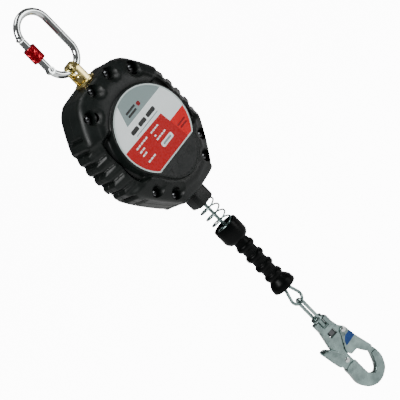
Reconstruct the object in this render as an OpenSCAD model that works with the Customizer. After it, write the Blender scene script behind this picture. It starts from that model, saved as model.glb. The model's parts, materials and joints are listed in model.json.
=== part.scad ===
// Self retracting lifeline: screw-gate carabiner, swivel, ribbed housing with
// drum and brake, wire rope with bumper spring and grip, and a snap hook.
// Millimetres, +Z up, front (label side) towards -Y. The origin is the inner top
// of the carabiner, where the lifeline hangs from its anchor.

/* [Carabiner] */

// Diameter of the carabiner's bar
bar_d = 10; // [8:0.5:12]
// Height of the carabiner between its bars' outer sides
carabiner_h = 108; // [90:1:120]
// Width of the carabiner between its bars' outer sides
carabiner_w = 61; // [50:1:75]
// Height of the gate's hinge pin
gate_pin_z = -71; // [-80:1:-60]
// Height of the joint between the gate and the nose
nose_z = -17; // [-24:1:-12]
// Diameter of the screw sleeve
sleeve_d = 18; // [14:0.5:20]
// Length of the screw sleeve
sleeve_h = 22.5; // [16:0.5:26]
// Height of the sleeve's top when it is unscrewed
sleeve_top = -29.5; // [-34:0.5:-28]

/* [Swivel] */

// Width of the swivel bail's strap
strap_w = 10.5; // [8:0.5:16]
// Thickness of the swivel bail's strap
strap_t = 5; // [3:0.5:7]
// Width of the swivel bail over its legs
bail_span = 27; // [24:0.5:34]
// Height of the bail's underside, over the carabiner's bar
bail_rest_z = -86.9; // [-87.2:0.1:-84]
// Diameter of the bail's round base
base_d = 31; // [28:0.5:36]
// Height of the underside of the bail's base
base_z = -117; // [-120:0.5:-114]
// Diameter of the swivel bolt
bolt_d = 8; // [6:0.5:10]
// Diameter of the swivel bolt's head
bolt_head_d = 13; // [11:0.5:15]
// Height of the swivel bolt's head
bolt_head_h = 12; // [6:0.5:13]

/* [Housing] */

// Height of the drum's axis
drum_z = -217; // [-222:1:-212]
// Half depth of the housing at its ribbed side band
band_y = 15; // [10:1:20]
// Half depth of the housing at its shoulders
shoulder_y = 31; // [28:1:34]
// Half depth of the housing
case_y = 41.5; // [38:0.5:46]
// Wall of the housing
wall = 3; // [2.5:0.5:4]
// Number of ribs on each side
rib_count = 7; // [5:1:9]
// Distance between two ribs
rib_pitch = 17; // [12:0.5:20]
// Radius of a rib
rib_r = 5.5; // [4:0.5:7]
// Radius of a screw pocket
pocket_r = 6.5; // [5:0.5:8]
// Depth of a screw pocket's floor
pocket_y = 20; // [14:1:24]
// Radius of the round label
label_r = 60; // [50:1:64]
// Height of the label's centre
label_z = -216; // [-222:1:-210]
// Distance from the label's centre to its cut bottom edge
label_cut = 45; // [36:1:54]
// Thickness of the label plate
label_t = 1; // [0.5:0.1:2]

/* [Frame and drum] */

// Half distance between the frame plates
frame_y = 25; // [24:0.5:26]
// Thickness of a frame plate
plate_t = 3; // [2:0.5:3]
// Diameter of the main shaft
shaft_d = 12; // [10:0.5:14]
// Radius of the drum's core
core_r = 24; // [20:1:32]
// Radius of the drum's flanges
flange_r = 53; // [48:1:54]
// Thickness of a drum flange
flange_t = 2; // [1.5:0.5:3]
// Front side of the rope winding
winding_front = -10; // [-12:0.5:-8]
// Rear side of the rope winding
winding_rear = 12; // [10:0.5:12]
// Radius at which the rope leaves its outer layer
payout_r = 47.746; // [47:0.001:48]
// Number of teeth in the ratchet ring
tooth_count = 10; // [8:2:12]
// Radius of the ratchet ring's tooth tips
tooth_tip_r = 44.5; // [44:0.5:46]
// Radius of the ratchet ring's tooth roots
tooth_root_r = 50; // [48:0.5:51]
// Distance of the pawl pins from the shaft
pawl_pin_at = 30; // [28:0.5:32]
// Number of turns in the power spring
spring_turns = 9; // [6:1:12]

/* [Rope and grip] */

// Diameter of the wire rope
rope_d = 4.8; // [4:0.1:5]
// Height of the nozzle's mouth
nozzle_z = -345; // [-350:1:-340]
// Width of the square nozzle
nozzle_w = 29; // [24:1:34]
// Outer diameter of the bumper spring
bumper_d = 29; // [24:0.5:32]
// Wire of the bumper spring
bumper_wire = 2.4; // [2:0.1:3]
// Pitch of the bumper spring
bumper_pitch = 11.6; // [8:0.1:14]
// Height of the cup's rim
cup_top = -387; // [-392:1:-382]
// Height of the cup's underside
cup_bottom = -416; // [-420:1:-410]
// Outer diameter of the cup
cup_d = 37; // [33:0.5:42]
// Diameter of the grip between its rings
grip_d = 21; // [18:0.5:24]
// Diameter of the grip's rings
ring_d = 27.5; // [24:0.5:32]
// Height of the upper grip ring
ring_z = -429; // [-432:1:-426]
// Distance between two grip rings
ring_pitch = 19; // [16:0.5:22]
// Height of the grip's lower end, at the bell's mouth
bell_z = -510; // [-514:1:-506]
// Diameter of the bell's mouth
bell_d = 36; // [30:0.5:40]
// Height of the centre of the rope eye's lowest point
eye_z = -542.6; // [-546:0.2:-540]
// Radius of the rope eye's round bottom, at the middle of the rope
eye_r = 9.6; // [8:0.2:12]

/* [Snap hook] */

// Turn of the hook about the rope's line
hook_turn = -17; // [-30:1:30]
// Diameter of the hook bail's rod
rod_d = 5; // [4:0.5:6]
// Distance between the hook bail's legs
rod_span = 11; // [10:0.5:13]
// Diameter of the hook's swivel stem
stem_d = 8; // [6:0.5:8.5]
// Thickness of the hook's upper plate and nose
plate_w = 9; // [8:0.5:10]
// Thickness of the hook's lower band
band_w = 12; // [10:0.5:13]
// Thickness of the gate's and the lever's sheet
sheet_t = 1.5; // [1:0.1:2]
// Diameter of the gate's and the lever's rivets
rivet_d = 5; // [4:0.5:6]

/* [Hidden] */

$fn = 64;
fit = 0.05;
gap = 0.5;
over = 1;
slice = 0.01;
bar_r = bar_d / 2;
arc_r = (carabiner_w - bar_d) / 2;
top_arc_z = bar_r - arc_r;
low_arc_z = top_arc_z - (carabiner_h - bar_d - 2 * arc_r);
gate_x = -arc_r;
nose_angle = 172;
tang_r = 4.8;
thread_r = 6.4;
eye_leg = 24;
eye_lean = 18;
eye_joint = 0.4;
ferrule_r = 7;
tang_w = 4;
tongue_w = 3;
tongue_h = 6;
pin_d = 4;
gate_spring_d = 4;
gate_spring_z = -60;
gate_spring_h = 14;
plunger_h = 6;
sleeve_bore = bar_d + 1.6;
nose_gap = 0.9;
cheek_gap = 0.2;
plunger_gap = 0.1;
sleeve_seat = 8;
bail_arch_z = bail_rest_z - (bail_span / 2 - strap_t);
base_t = 4;
washer_gap = 0.3;
washer_t = 1.1;
boss_top = base_z - washer_gap - washer_t;
head_z = -128;
head_bottom = -142;
head_x = 9.5;
head_boss_r = 9;
nut_h = 8;
nut_w = 13;
bolt_gap = 0.2;

outline = [
  [30, -118.5], [42, -121], [53, -128], [63, -141], [72, -155], [79, -168], [84, -182],
  [86.3, -200], [86.6, -217], [86, -234], [82.5, -250], [75, -264], [62, -283],
  [47, -302], [37, -313], [28, -319]
];
outline_full = concat(outline, [for (i = [len(outline) - 1:-1:0]) [-outline[i][0], outline[i][1]]]);
shoulder_x = 0.79;
shoulder_z = 0.93;
front_r = 62;
lobe_r = 40;
lobe_z = -249;
screw_at = [
  [18, -125], [51, -145], [57, -277], [38, -300], [-18, -125], [-51, -145], [-57, -277],
  [-38, -300]
];
screw_d = 4.4;
screw_head_r = 4.2;
screw_head_h = 3;
boss_r = 4.6;
top_hole_r = head_boss_r + 0.4;
pocket_wall = 1.8;
rib_proud = 2;
rib_past = 3;
nozzle_hole_w = nozzle_w + 0.6;
nozzle_cut_h = 14;
curve_sides = 48;

plate_r = 60;
plate_top = -133;
plate_low = -292;
plate_low_x = 26;
spacer_r = 4;
spacer_at = [[24, -152], [-24, -152], [24, -282], [-24, -282]];
frame_screw_d = 5;
frame_screw_head_r = 4.5;
frame_screw_head_h = 3;
frame_screw_reach = 14;
plate_edge = 20;
shaft_r = shaft_d / 2;
shaft_out = 7;
shaft_nut_w = 19;
shaft_nut_h = 6;
bush_r = 8;
bush_h = 8;
arbor_r = 11;
arbor_end = 24;
spring_case_r = 52;
spring_case_front = winding_rear + flange_t + gap;
spring_case_t = 1;
spring_case_wall = 2;
spring_case_flange = 6;
case_screw_r = 1.5;
case_screw_head_r = 2.6;
case_screw_head_h = 2;
case_screw_at = [
  for (a = [45:90:315])
    [(spring_case_r + 3) * sin(a), drum_z + (spring_case_r + 3) * cos(a)]
];
spring_front = 16.2;
spring_rear = 24.2;
strip = 0.9;
strip_in = 12.5;
strip_out = 48.5;
lining_in = tooth_root_r + 0.5;
brake_r = 56;
pressure_r = 62;
pressure_front = -14;
pressure_t = 1.5;
ring_front = -23.5;
ring_rear = -15.5;
brake_screw_d = 4;
brake_screw_head_r = 3;
brake_screw_ring = 59;
brake_screw_at = [
  for (a = [30:60:330])
    [brake_screw_ring * sin(a), drum_z + brake_screw_ring * cos(a)]
];
pawl_plate_r = 40;
pawl_front = -22;
pawl_rear = -16;
pawl_reach = [22.6, 4.2];
pawl_tip_r = 1.3;
pawl_boss_r = 5;
pawl_pin_d = 5;
pawl_pin_out = 2.4;
pawl_coil_wire_r = 0.7;
lock_angle = 32;
root_span = 20;
tip_span = 4;

rope_r = rope_d / 2;
rope_top = -275;
nozzle_top = -311.5;
nozzle_flange_w = 34;
nozzle_flange_t = 4.4;
nozzle_flange_depth = 26;
nozzle_bore_r = 9;
nozzle_corner = 7;
guide_top = -322;
guide_gap = 0.35;
guide_lip = 1;
rope_rows = 4;
bumper_turns = 4;
bumper_bottom = -394.7;
cup_wall = 2.5;
cup_floor = 4;
washer_z = -396;
washer_in_r = 5;
cup_washer_t = 1.6;
bead_h = 4;
neck_z = -492;
ferrule_top = -486;
ferrule_bottom = -506;

rod_r = rod_d / 2;
bridge_z = -573;
bridge_t = 5.4;
bridge_r = 8.5;
ear_top = -579;
ear_in = 4.7;
ear_out = 11.5;
stem_end = -608;
ear_root = -593;
yoke_bottom = -600;
yoke_h = 8;
nose_recess_at = [18, -655];
nose_recess = [24, 26];
coil_room_y = 2.2;
coil_room_r = 2.4;
coil_wire_r = 0.7;
coil_step = 1.2;
rivet_head_r = 1.4;
rivet_head_h = 1.4;
hook_nut_top = -600;
hook_nut_h = 7;
hook_nut_r = 5.5;
half_plate = plate_w / 2;
half_band = band_w / 2;
side_gap = 0.4;
gate_in = half_plate + side_gap;
gate_out = gate_in + sheet_t;
lever_in = gate_out + side_gap;
lever_out = lever_in + sheet_t;
gate_at = [14.5, -612.6];
lever_at = [-12.2, -646.2];
rivet_r = rivet_d / 2;
hook_upper = [
  [-11.5, -590], [11.5, -590], [14, -603], [19.5, -611], [20.5, -620], [17, -626], [4, -629],
  [-4, -640], [-4, -662], [-20, -662], [-19, -640], [-17, -617], [-14, -603]
];
hook_lower = [
  [-4, -655], [-2.6, -664], [-2.4, -677], [-1.4, -684.5], [3, -689.2], [8, -689.2],
  [13.3, -683.2], [18, -672.6], [20.6, -664], [21.5, -657.5], [24.5, -657.5], [27.2, -662],
  [29, -668], [29, -680.3], [25.3, -690], [20.7, -697], [12.2, -702.6], [4, -705],
  [-5, -704.2], [-14.5, -698.8], [-21, -690], [-23.6, -680.3], [-22.6, -667.8], [-21, -655]
];
gate_side = [
  [14.5, -608.4], [19.1, -611.4], [20.7, -625.6], [23.6, -639], [27.4, -655], [27.8, -660.5],
  [24.4, -663.5], [19, -662.2], [14.2, -655.4], [9.9, -647.2], [-0.7, -646.2], [-3.4, -641],
  [-2.6, -634], [6.5, -617], [9.6, -610]
];
gate_web = [[19, -662.2], [14.2, -655.4], [9.9, -647.2], [11.3, -646.5], [15.5, -654.6], [20.2, -661.4]];
lever_side = [
  [-30, -615.5], [-26, -614.6], [-21, -618.4], [-15, -625.6], [-10, -637], [-6.4, -643],
  [-6.4, -650], [-12.6, -652], [-22, -653.4], [-25.4, -643.8], [-28, -629.4]
];
lever_web = [
  [-30, -615.5], [-28.4, -615.3], [-26.4, -629.2], [-23.8, -643.6], [-20.6, -653.2],
  [-22, -653.4], [-25.4, -643.8], [-28, -629.4]
];

module along_y(from, to) {
  translate([0, to, 0])
    rotate([90, 0, 0])
      linear_extrude(to - from)
        children();
}

module rod_y(at, from, to, r) {
  translate([at[0], to, at[1]])
    rotate([90, 0, 0])
      cylinder(h = to - from, r = r);
}

module rod_z(from, to, r) {
  translate([0, 0, from])
    cylinder(h = to - from, r = r);
}

module ring_y(from, to, out_r, in_r, at_z = drum_z) {
  difference() {
    rod_y([0, at_z], from, to, out_r);
    rod_y([0, at_z], from - over, to + over, in_r);
  }
}

module ring_z(from, to, out_r, in_r) {
  difference() {
    rod_z(from, to, out_r);
    rod_z(from - over, to + over, in_r);
  }
}

module hex_z(from, to, across) {
  translate([0, 0, from])
    cylinder(h = to - from, r = across / 2 / cos(30), $fn = 6);
}

module hex_y(from, to, across) {
  translate([0, to, drum_z])
    rotate([90, 30, 0])
      cylinder(h = to - from, r = across / 2 / cos(30), $fn = 6);
}

// A wire wound on a cylinder about the Z axis, from z = 0 upwards.
module coil(mean_r, wire_r, pitch, turns, steps, sides) {
  n = round(turns * steps);
  ring_points = [
    for (i = [0:n])
      for (j = [0:sides - 1])
        let (a = 360 * i / steps, b = 360 * j / sides, r = mean_r + wire_r * cos(b))
          [r * cos(a), r * sin(a), pitch * i / steps + wire_r * sin(b)]
  ];
  side_faces = [
    for (i = [0:n - 1])
      for (j = [0:sides - 1])
        let (k = (j + 1) % sides)
          [i * sides + j, (i + 1) * sides + j, (i + 1) * sides + k, i * sides + k]
  ];
  start_face = [for (j = [0:sides - 1]) j];
  end_face = [for (j = [sides - 1:-1:0]) n * sides + j];
  polyhedron(ring_points, concat(side_faces, [start_face, end_face]), convexity = 10);
}

// A part of the carabiner's bar bent round the middle of one of its two arcs.
module bar_arc(at_z, start, sweep) {
  translate([0, 0, at_z])
    rotate([90, 0, 0])
      rotate_extrude(angle = sweep, start = start)
        translate([arc_r, 0])
          circle(bar_r);
}

module carabiner_body() {
  color("silver")
    difference() {
      union() {
        bar_arc(top_arc_z, 0, nose_angle);
        bar_arc(low_arc_z, 360 - nose_angle, nose_angle);
        translate([arc_r, 0, low_arc_z])
          cylinder(h = top_arc_z - low_arc_z, r = bar_r);
        translate([gate_x - bar_r + over, -tongue_w / 2, nose_z - tongue_h])
          cube([bar_d - 2 * over, tongue_w, tongue_h + over]);
        rod_y([gate_x, gate_pin_z], -tang_w / 2, tang_w / 2, tang_r);
      }
      rod_y([gate_x, gate_pin_z], -bar_d, bar_d, pin_d / 2);
      rod_y([gate_x, gate_pin_z], tang_w / 2, bar_d, bar_r + gap);
      rod_y([gate_x, gate_pin_z], -bar_d, -tang_w / 2, bar_r + gap);
    }
}

module carabiner_gate() {
  color("silver")
    translate([gate_x, 0, 0])
      difference() {
        union() {
          rod_z(gate_pin_z, nose_z - nose_gap, bar_r);
          rod_y([0, gate_pin_z], -bar_r + cheek_gap, bar_r - cheek_gap, bar_r - cheek_gap);
        }
        translate([-bar_r, -tongue_w / 2 - side_gap, nose_z - tongue_h - over])
          cube([bar_d, tongue_w + 2 * side_gap, tongue_h + 2 * over]);
        translate([-bar_d, -tang_w / 2 - side_gap, gate_pin_z - bar_d])
          cube([2 * bar_d, tang_w + 2 * side_gap, bar_d + tang_r + gap]);
        rod_y([0, gate_pin_z], -bar_d, bar_d, pin_d / 2 + fit);
        rod_z(gate_spring_z - plunger_h, gate_spring_z + gate_spring_h, gate_spring_d / 2);
      }
}

module carabiner_gate_pin() {
  color("dimgray")
    rod_y([gate_x, gate_pin_z], -bar_r + cheek_gap, bar_r - cheek_gap, pin_d / 2);
}

module carabiner_gate_plunger() {
  color("dimgray")
    translate([gate_x, 0, 0])
      rod_z(gate_spring_z - plunger_h + gap, gate_spring_z, gate_spring_d / 2 - plunger_gap);
}

module carabiner_gate_spring() {
  color("lightgray")
    translate([gate_x, 0, gate_spring_z + 0.4])
      coil(1.5, 0.3, 1.25, 10, 12, 6);
}

module carabiner_sleeve() {
  color("red")
    translate([gate_x, 0, sleeve_top])
      rotate_extrude()
        polygon([
          [sleeve_bore / 2, 0], [sleeve_d / 2 - over, 0], [sleeve_d / 2, -over],
          [sleeve_d / 2, over - sleeve_h], [sleeve_d / 2 - over, -sleeve_h],
          [thread_r, -sleeve_h], [thread_r, -sleeve_h + sleeve_seat],
          [sleeve_bore / 2, -sleeve_h + sleeve_seat]
        ]);
}

module sleeve_thread_ring() {
  color("dimgray")
    translate([gate_x, 0, 0])
      ring_z(sleeve_top - sleeve_h, sleeve_top - sleeve_h + sleeve_seat - cheek_gap,
        thread_r - fit, bar_r + fit);
}

module swivel_bail() {
  color("gold")
    difference() {
      union() {
        rotate([90, 0, 90])
          translate([0, 0, -strap_w / 2])
            linear_extrude(strap_w)
              difference() {
                union() {
                  translate([0, bail_arch_z])
                    circle(bail_span / 2);
                  translate([-bail_span / 2, base_z + base_t / 2])
                    square([bail_span, bail_arch_z - base_z - base_t / 2]);
                }
                translate([0, bail_arch_z])
                  circle(bail_span / 2 - strap_t);
                translate([-bail_span / 2 + strap_t, base_z + base_t])
                  square([bail_span - 2 * strap_t, bail_arch_z - base_z - base_t]);
              }
        rod_z(base_z, base_z + base_t, base_d / 2);
      }
      rod_z(base_z - over, base_z + base_t + over, bolt_d / 2 + fit);
    }
}

module swivel_bolt() {
  dome = bolt_head_d / 2;
  color("gold") {
    translate([0, 0, base_z + base_t + bolt_gap])
      rotate_extrude()
        polygon([
          [0, 0], [dome, 0], [dome, bolt_head_h - 5], [dome - 0.6, bolt_head_h - 3],
          [dome - 2, bolt_head_h - 1.2], [dome - 4, bolt_head_h - 0.2], [0, bolt_head_h]
        ]);
    rod_z(head_bottom - nut_h - 2, base_z + base_t + bolt_gap + fit, bolt_d / 2);
  }
}

module swivel_nut() {
  color("silver")
    difference() {
      hex_z(head_bottom - nut_h, head_bottom, nut_w);
      rod_z(head_bottom - nut_h - over, head_bottom + over, bolt_d / 2);
    }
}

module thrust_washer() {
  color("goldenrod")
    ring_z(boss_top, boss_top + washer_t, base_d / 2 - 1.5, bolt_d / 2);
}

module crosshead() {
  color("slategray")
    difference() {
      union() {
        translate([-head_x, -frame_y, head_bottom])
          cube([2 * head_x, 2 * frame_y, head_z - head_bottom]);
        rod_z(head_z - over, boss_top, head_boss_r);
      }
      rod_z(head_bottom - over, boss_top + over, bolt_d / 2);
    }
}

module plate_shape() {
  difference() {
    hull() {
      translate([0, drum_z])
        circle(plate_r);
      translate([-head_x, plate_top - plate_edge])
        square([2 * head_x, plate_edge]);
      translate([-plate_low_x, plate_low])
        square([2 * plate_low_x, plate_edge]);
    }
    translate([0, drum_z])
      circle(shaft_r);
    for (p = spacer_at)
      translate(p)
        circle(frame_screw_d / 2);
  }
}

module frame_plate_front() {
  color("slategray")
    difference() {
      along_y(-frame_y - plate_t, -frame_y)
        plate_shape();
      for (p = brake_screw_at)
        rod_y(p, -frame_y - plate_t - over, -frame_y + over, brake_screw_d / 2);
    }
}

module frame_plate_rear() {
  color("slategray")
    along_y(frame_y, frame_y + plate_t)
      plate_shape();
}

module frame_spacers() {
  color("silver")
    for (p = spacer_at)
      difference() {
        rod_y(p, -frame_y, frame_y, spacer_r);
        rod_y(p, -frame_y - over, frame_y + over, frame_screw_d / 2);
      }
}

module frame_screws() {
  color("gray")
    for (p = spacer_at)
      for (m = [0, 1])
        mirror([0, m, 0]) {
          rod_y(p, frame_y - frame_screw_reach, frame_y + plate_t + fit, frame_screw_d / 2);
          translate([0, frame_y + plate_t, 0])
            rod_y(p, 0, frame_screw_head_h, frame_screw_head_r);
        }
}

// A thin slice of the housing's outline, lying behind the plane at -y.
module case_slab(y, grow) {
  translate([0, slice - y, 0])
    rotate([90, 0, 0])
      linear_extrude(slice)
        offset(delta = grow)
          children();
}

module case_solid(grow, deep) {
  hull() {
    case_slab(0, grow)
      polygon(outline_full);
    case_slab(band_y + grow / 2, grow)
      polygon(outline_full);
    case_slab(shoulder_y + grow * 0.7, grow)
      translate([0, drum_z])
        scale([shoulder_x, shoulder_z])
          translate([0, -drum_z])
            polygon(outline_full);
    case_slab(deep, grow) {
      translate([0, label_z])
        circle(front_r, $fn = curve_sides);
      translate([0, lobe_z])
        circle(lobe_r, $fn = curve_sides);
    }
  }
}

module ribs() {
  for (side = [-1, 1])
    for (i = [0:rib_count - 1]) {
      z = drum_z + (i - (rib_count - 1) / 2) * rib_pitch;
      x = lookup(-z, [for (p = outline) [-p[1], p[0]]]);
      translate([side * (x - rib_r + rib_proud), 0, z])
        rotate([90, 0, 0])
          cylinder(h = band_y + rib_past, r1 = rib_r, r2 = rib_r - 1, $fn = 12);
    }
}

module half_case() {
  difference() {
    union() {
      difference() {
        union() {
          case_solid(0, case_y);
          ribs();
        }
        case_solid(-wall, case_y - wall);
      }
      intersection() {
        case_solid(0, case_y);
        for (p = screw_at)
          rod_y(p, -case_y, 0, boss_r);
      }
      children();
    }
    translate([-2 * case_y, 0, drum_z - 4 * case_y])
      cube([4 * case_y, case_y, 8 * case_y]);
    rod_z(head_z, 2 * boss_top - head_z, top_hole_r);
    translate([-nozzle_hole_w / 2, -nozzle_hole_w / 2, nozzle_top - nozzle_cut_h])
      cube([nozzle_hole_w, nozzle_hole_w, nozzle_cut_h]);
    for (p = screw_at)
      rod_y(p, -case_y, over, screw_d / 2);
  }
}

module front_cover() {
  color([0.12, 0.13, 0.13])
    difference() {
      half_case()
        intersection() {
          case_solid(0, case_y);
          for (p = screw_at)
            rod_y(p, -case_y, -pocket_y + wall, pocket_r + pocket_wall);
        }
      for (p = screw_at)
        rod_y(p, -2 * case_y, -pocket_y, pocket_r);
    }
}

module rear_cover() {
  color([0.12, 0.13, 0.13])
    mirror([0, 1, 0])
      half_case();
}

module cover_screws() {
  color("silver")
    for (p = screw_at) {
      rod_y(p, -pocket_y, pocket_y, screw_d / 2);
      rod_y(p, -pocket_y - screw_head_h, -pocket_y, screw_head_r);
    }
}

module label_plate() {
  color("white")
    difference() {
      rod_y([0, label_z], -case_y - label_t, -case_y, label_r);
      translate([-label_r, -case_y - 2 * label_t, label_z - 2 * label_r])
        cube([2 * label_r, 4 * label_t, 2 * label_r - label_cut]);
    }
}

module main_shaft() {
  color("silver")
    rod_y([0, drum_z], -frame_y - plate_t - shaft_out, frame_y + plate_t + shaft_out, shaft_r);
}

module shaft_nuts() {
  color("gray")
    for (m = [0, 1])
      mirror([0, m, 0])
        difference() {
          hex_y(frame_y + plate_t, frame_y + plate_t + shaft_nut_h, shaft_nut_w);
          rod_y([0, drum_z], frame_y, frame_y + plate_t + shaft_nut_h + over, shaft_r);
        }
}

module cable_drum() {
  color("lightgray")
    difference() {
      union() {
        rod_y([0, drum_z], winding_front, winding_rear, core_r);
        rod_y([0, drum_z], winding_front - flange_t, winding_front, flange_r);
        rod_y([0, drum_z], winding_rear, winding_rear + flange_t, flange_r);
      }
      rod_y([0, drum_z], -frame_y, frame_y, bush_r);
    }
}

module drum_bushes() {
  color("peru") {
    ring_y(winding_front - flange_t, winding_front - flange_t + bush_h, bush_r, shaft_r + fit);
    ring_y(winding_rear + flange_t - bush_h, winding_rear + flange_t, bush_r, shaft_r + fit);
  }
}

module rope_winding() {
  step = (winding_rear - winding_front - rope_d) / (rope_rows - 1);
  color("darkgray")
    translate([0, 0, drum_z])
      rotate([90, 0, 0])
        rotate_extrude() {
          translate([core_r, -winding_rear])
            square([payout_r - core_r, winding_rear - winding_front]);
          for (i = [0:rope_rows - 1])
            translate([payout_r, -winding_rear + rope_r + i * step])
              circle(rope_r);
        }
}

module spring_arbor() {
  color("gray")
    ring_y(winding_rear + flange_t, arbor_end, arbor_r, shaft_r + gap);
}

module spring_case() {
  color("darkslategray")
    difference() {
      union() {
        rod_y([0, drum_z], spring_case_front, frame_y, spring_case_r);
        rod_y([0, drum_z], frame_y - spring_case_wall, frame_y, spring_case_r + spring_case_flange);
      }
      rod_y([0, drum_z], spring_case_front + spring_case_t, frame_y + over,
        spring_case_r - spring_case_wall);
      rod_y([0, drum_z], 0, frame_y, arbor_r + gap);
      for (p = case_screw_at)
        rod_y(p, frame_y - 2 * spring_case_wall, frame_y + over, case_screw_r);
    }
}

module spring_case_screws() {
  color("gray")
    for (p = case_screw_at) {
      rod_y(p, frame_y - spring_case_wall - case_screw_head_h, frame_y - spring_case_wall,
        case_screw_head_r);
      rod_y(p, frame_y - spring_case_wall - fit, frame_y, case_screw_r);
    }
}

module power_spring() {
  steps = 30;
  n = spring_turns * steps;
  rise = (strip_out - strip_in) / n;
  inner = [
    for (i = [0:n]) let (a = 360 * i / steps, r = strip_in + i * rise) [r * sin(a), r * cos(a)]
  ];
  outer = [
    for (i = [n:-1:0])
      let (a = 360 * i / steps, r = strip_in + strip + i * rise) [r * sin(a), r * cos(a)]
  ];
  color("steelblue")
    along_y(spring_front, spring_rear)
      translate([0, drum_z])
        polygon(concat(inner, outer));
}

module brake_linings() {
  color("sienna") {
    ring_y(-frame_y, ring_front, brake_r, lining_in);
    ring_y(ring_rear, pressure_front, brake_r, lining_in);
  }
}

module ratchet_ring() {
  pitch = 360 / tooth_count;
  teeth = [
    for (i = [0:tooth_count - 1])
      let (a = lock_angle + i * pitch)
        for (p = [
          [a - root_span, tooth_root_r], [a - root_span / 2, tooth_root_r],
          [a, tooth_root_r], [a, tooth_tip_r], [a + tip_span, tooth_tip_r]
        ])
          [p[1] * sin(p[0]), p[1] * cos(p[0])]
  ];
  color("dimgray")
    along_y(ring_front, ring_rear)
      translate([0, drum_z])
        difference() {
          circle(brake_r);
          polygon(teeth);
        }
}

module pressure_ring() {
  color("slategray")
    difference() {
      ring_y(pressure_front, pressure_front + pressure_t, pressure_r, lining_in);
      for (p = brake_screw_at)
        rod_y(p, pressure_front - over, pressure_front + 2 * pressure_t, brake_screw_d / 2);
    }
}

module brake_screws() {
  color("gray")
    for (p = brake_screw_at) {
      rod_y(p, -frame_y - plate_t, pressure_front + pressure_t + fit, brake_screw_d / 2);
      rod_y(p, pressure_front + pressure_t, pressure_front + pressure_t + 3, brake_screw_head_r);
    }
}

module pawl_plate() {
  color("gray")
    difference() {
      ring_y(pawl_rear + gap, winding_front - flange_t, pawl_plate_r, shaft_r + gap);
      for (side = [-1, 1])
        rod_y([0, drum_z + side * pawl_pin_at], pawl_rear, 0, pawl_pin_d / 2);
    }
}

module pawl_pins() {
  color("silver")
    for (side = [-1, 1])
      rod_y([0, drum_z + side * pawl_pin_at], pawl_front - pawl_pin_out, winding_front - flange_t,
        pawl_pin_d / 2);
}

module pawl(turn) {
  translate([0, 0, drum_z])
    rotate([0, turn, 0])
      translate([0, 0, pawl_pin_at])
        difference() {
          along_y(pawl_front, pawl_rear)
            polygon(concat(
              [for (a = [80:20:280]) pawl_boss_r * [cos(a), sin(a)]],
              [
                pawl_reach + [0.6, -1.4], pawl_reach + [pawl_tip_r, 0],
                pawl_reach + [-1.2, 1.2]
              ]
            ));
          rod_y([0, 0], pawl_front - over, pawl_rear + over, pawl_pin_d / 2 + fit);
        }
}

module pawl_upper() {
  color("orange")
    pawl(0);
}

module pawl_lower() {
  color("orange")
    pawl(180);
}

module pawl_springs() {
  color("lightgray")
    for (side = [-1, 1])
      translate([0, pawl_front - 0.4, drum_z + side * pawl_pin_at])
        rotate([90, 0, 0])
          rotate_extrude()
            translate([pawl_pin_d / 2 + pawl_coil_wire_r + 0.2, pawl_coil_wire_r + 0.1])
              circle(pawl_coil_wire_r);
}

module nozzle() {
  color([0.1, 0.1, 0.1])
    difference() {
      union() {
        translate([0, 0, nozzle_z])
          linear_extrude(nozzle_top - nozzle_z)
            offset(r = nozzle_corner, $fn = 32)
              square(nozzle_w - 2 * nozzle_corner, center = true);
        translate([-nozzle_flange_w / 2, -nozzle_flange_depth / 2, nozzle_top - nozzle_flange_t])
          cube([nozzle_flange_w, nozzle_flange_depth, nozzle_flange_t]);
      }
      rod_z(nozzle_z - over, nozzle_top + over, nozzle_bore_r);
    }
}

module rope_guide() {
  color("ivory")
    rotate_extrude()
      polygon([
        [rope_r + guide_gap, nozzle_z + 3 * guide_lip], [rope_r + 2, nozzle_z + guide_lip],
        [nozzle_bore_r, nozzle_z + guide_lip], [nozzle_bore_r, guide_top],
        [nozzle_bore_r - 1.5, guide_top], [rope_r + guide_gap, guide_top - 7]
      ]);
}

module rope_run() {
  color("darkgray")
    rod_z(ferrule_top, rope_top, rope_r);
}

module rope_eye() {
  low = eye_z + eye_r;
  color("darkgray") {
    translate([0, 0, low])
      rotate([90, 0, 0])
        rotate_extrude(angle = 180 + 2 * eye_lean, start = 180 - eye_lean)
          translate([eye_r, 0])
            circle(rope_r);
    for (side = [-1, 1])
      translate([side * eye_r * cos(eye_lean), 0, low + eye_r * sin(eye_lean)])
        rotate([0, -side * eye_lean, 0])
          translate([0, 0, -eye_joint])
            cylinder(h = eye_leg, r = rope_r);
  }
}

module ferrule() {
  color("silver")
    difference() {
      rod_z(ferrule_bottom, ferrule_top + 4, ferrule_r);
      rod_z(ferrule_top, ferrule_top + 4 + over, rope_r);
    }
}

module bumper_spring() {
  color("silver")
    translate([0, 0, bumper_bottom])
      coil(bumper_d / 2 - bumper_wire / 2, bumper_wire / 2, bumper_pitch, bumper_turns, 28, 8);
}

module bumper_cup() {
  out = cup_d / 2;
  color([0.08, 0.08, 0.08])
    rotate_extrude()
      polygon([
        [out, cup_top - 0.8], [out, cup_bottom + cup_floor + 6],
        [out - 2, cup_bottom + 3], [grip_d / 2, cup_bottom], [rope_r, cup_bottom],
        [rope_r, cup_bottom + cup_floor], [out - cup_wall - 4, cup_bottom + cup_floor],
        [out - cup_wall, cup_bottom + cup_floor + 5], [out - cup_wall, cup_top],
        [out - 0.8, cup_top]
      ]);
}

module cup_washer() {
  color("silver")
    ring_z(washer_z - cup_washer_t, washer_z, cup_d / 2 - cup_wall, washer_in_r);
}

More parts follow.
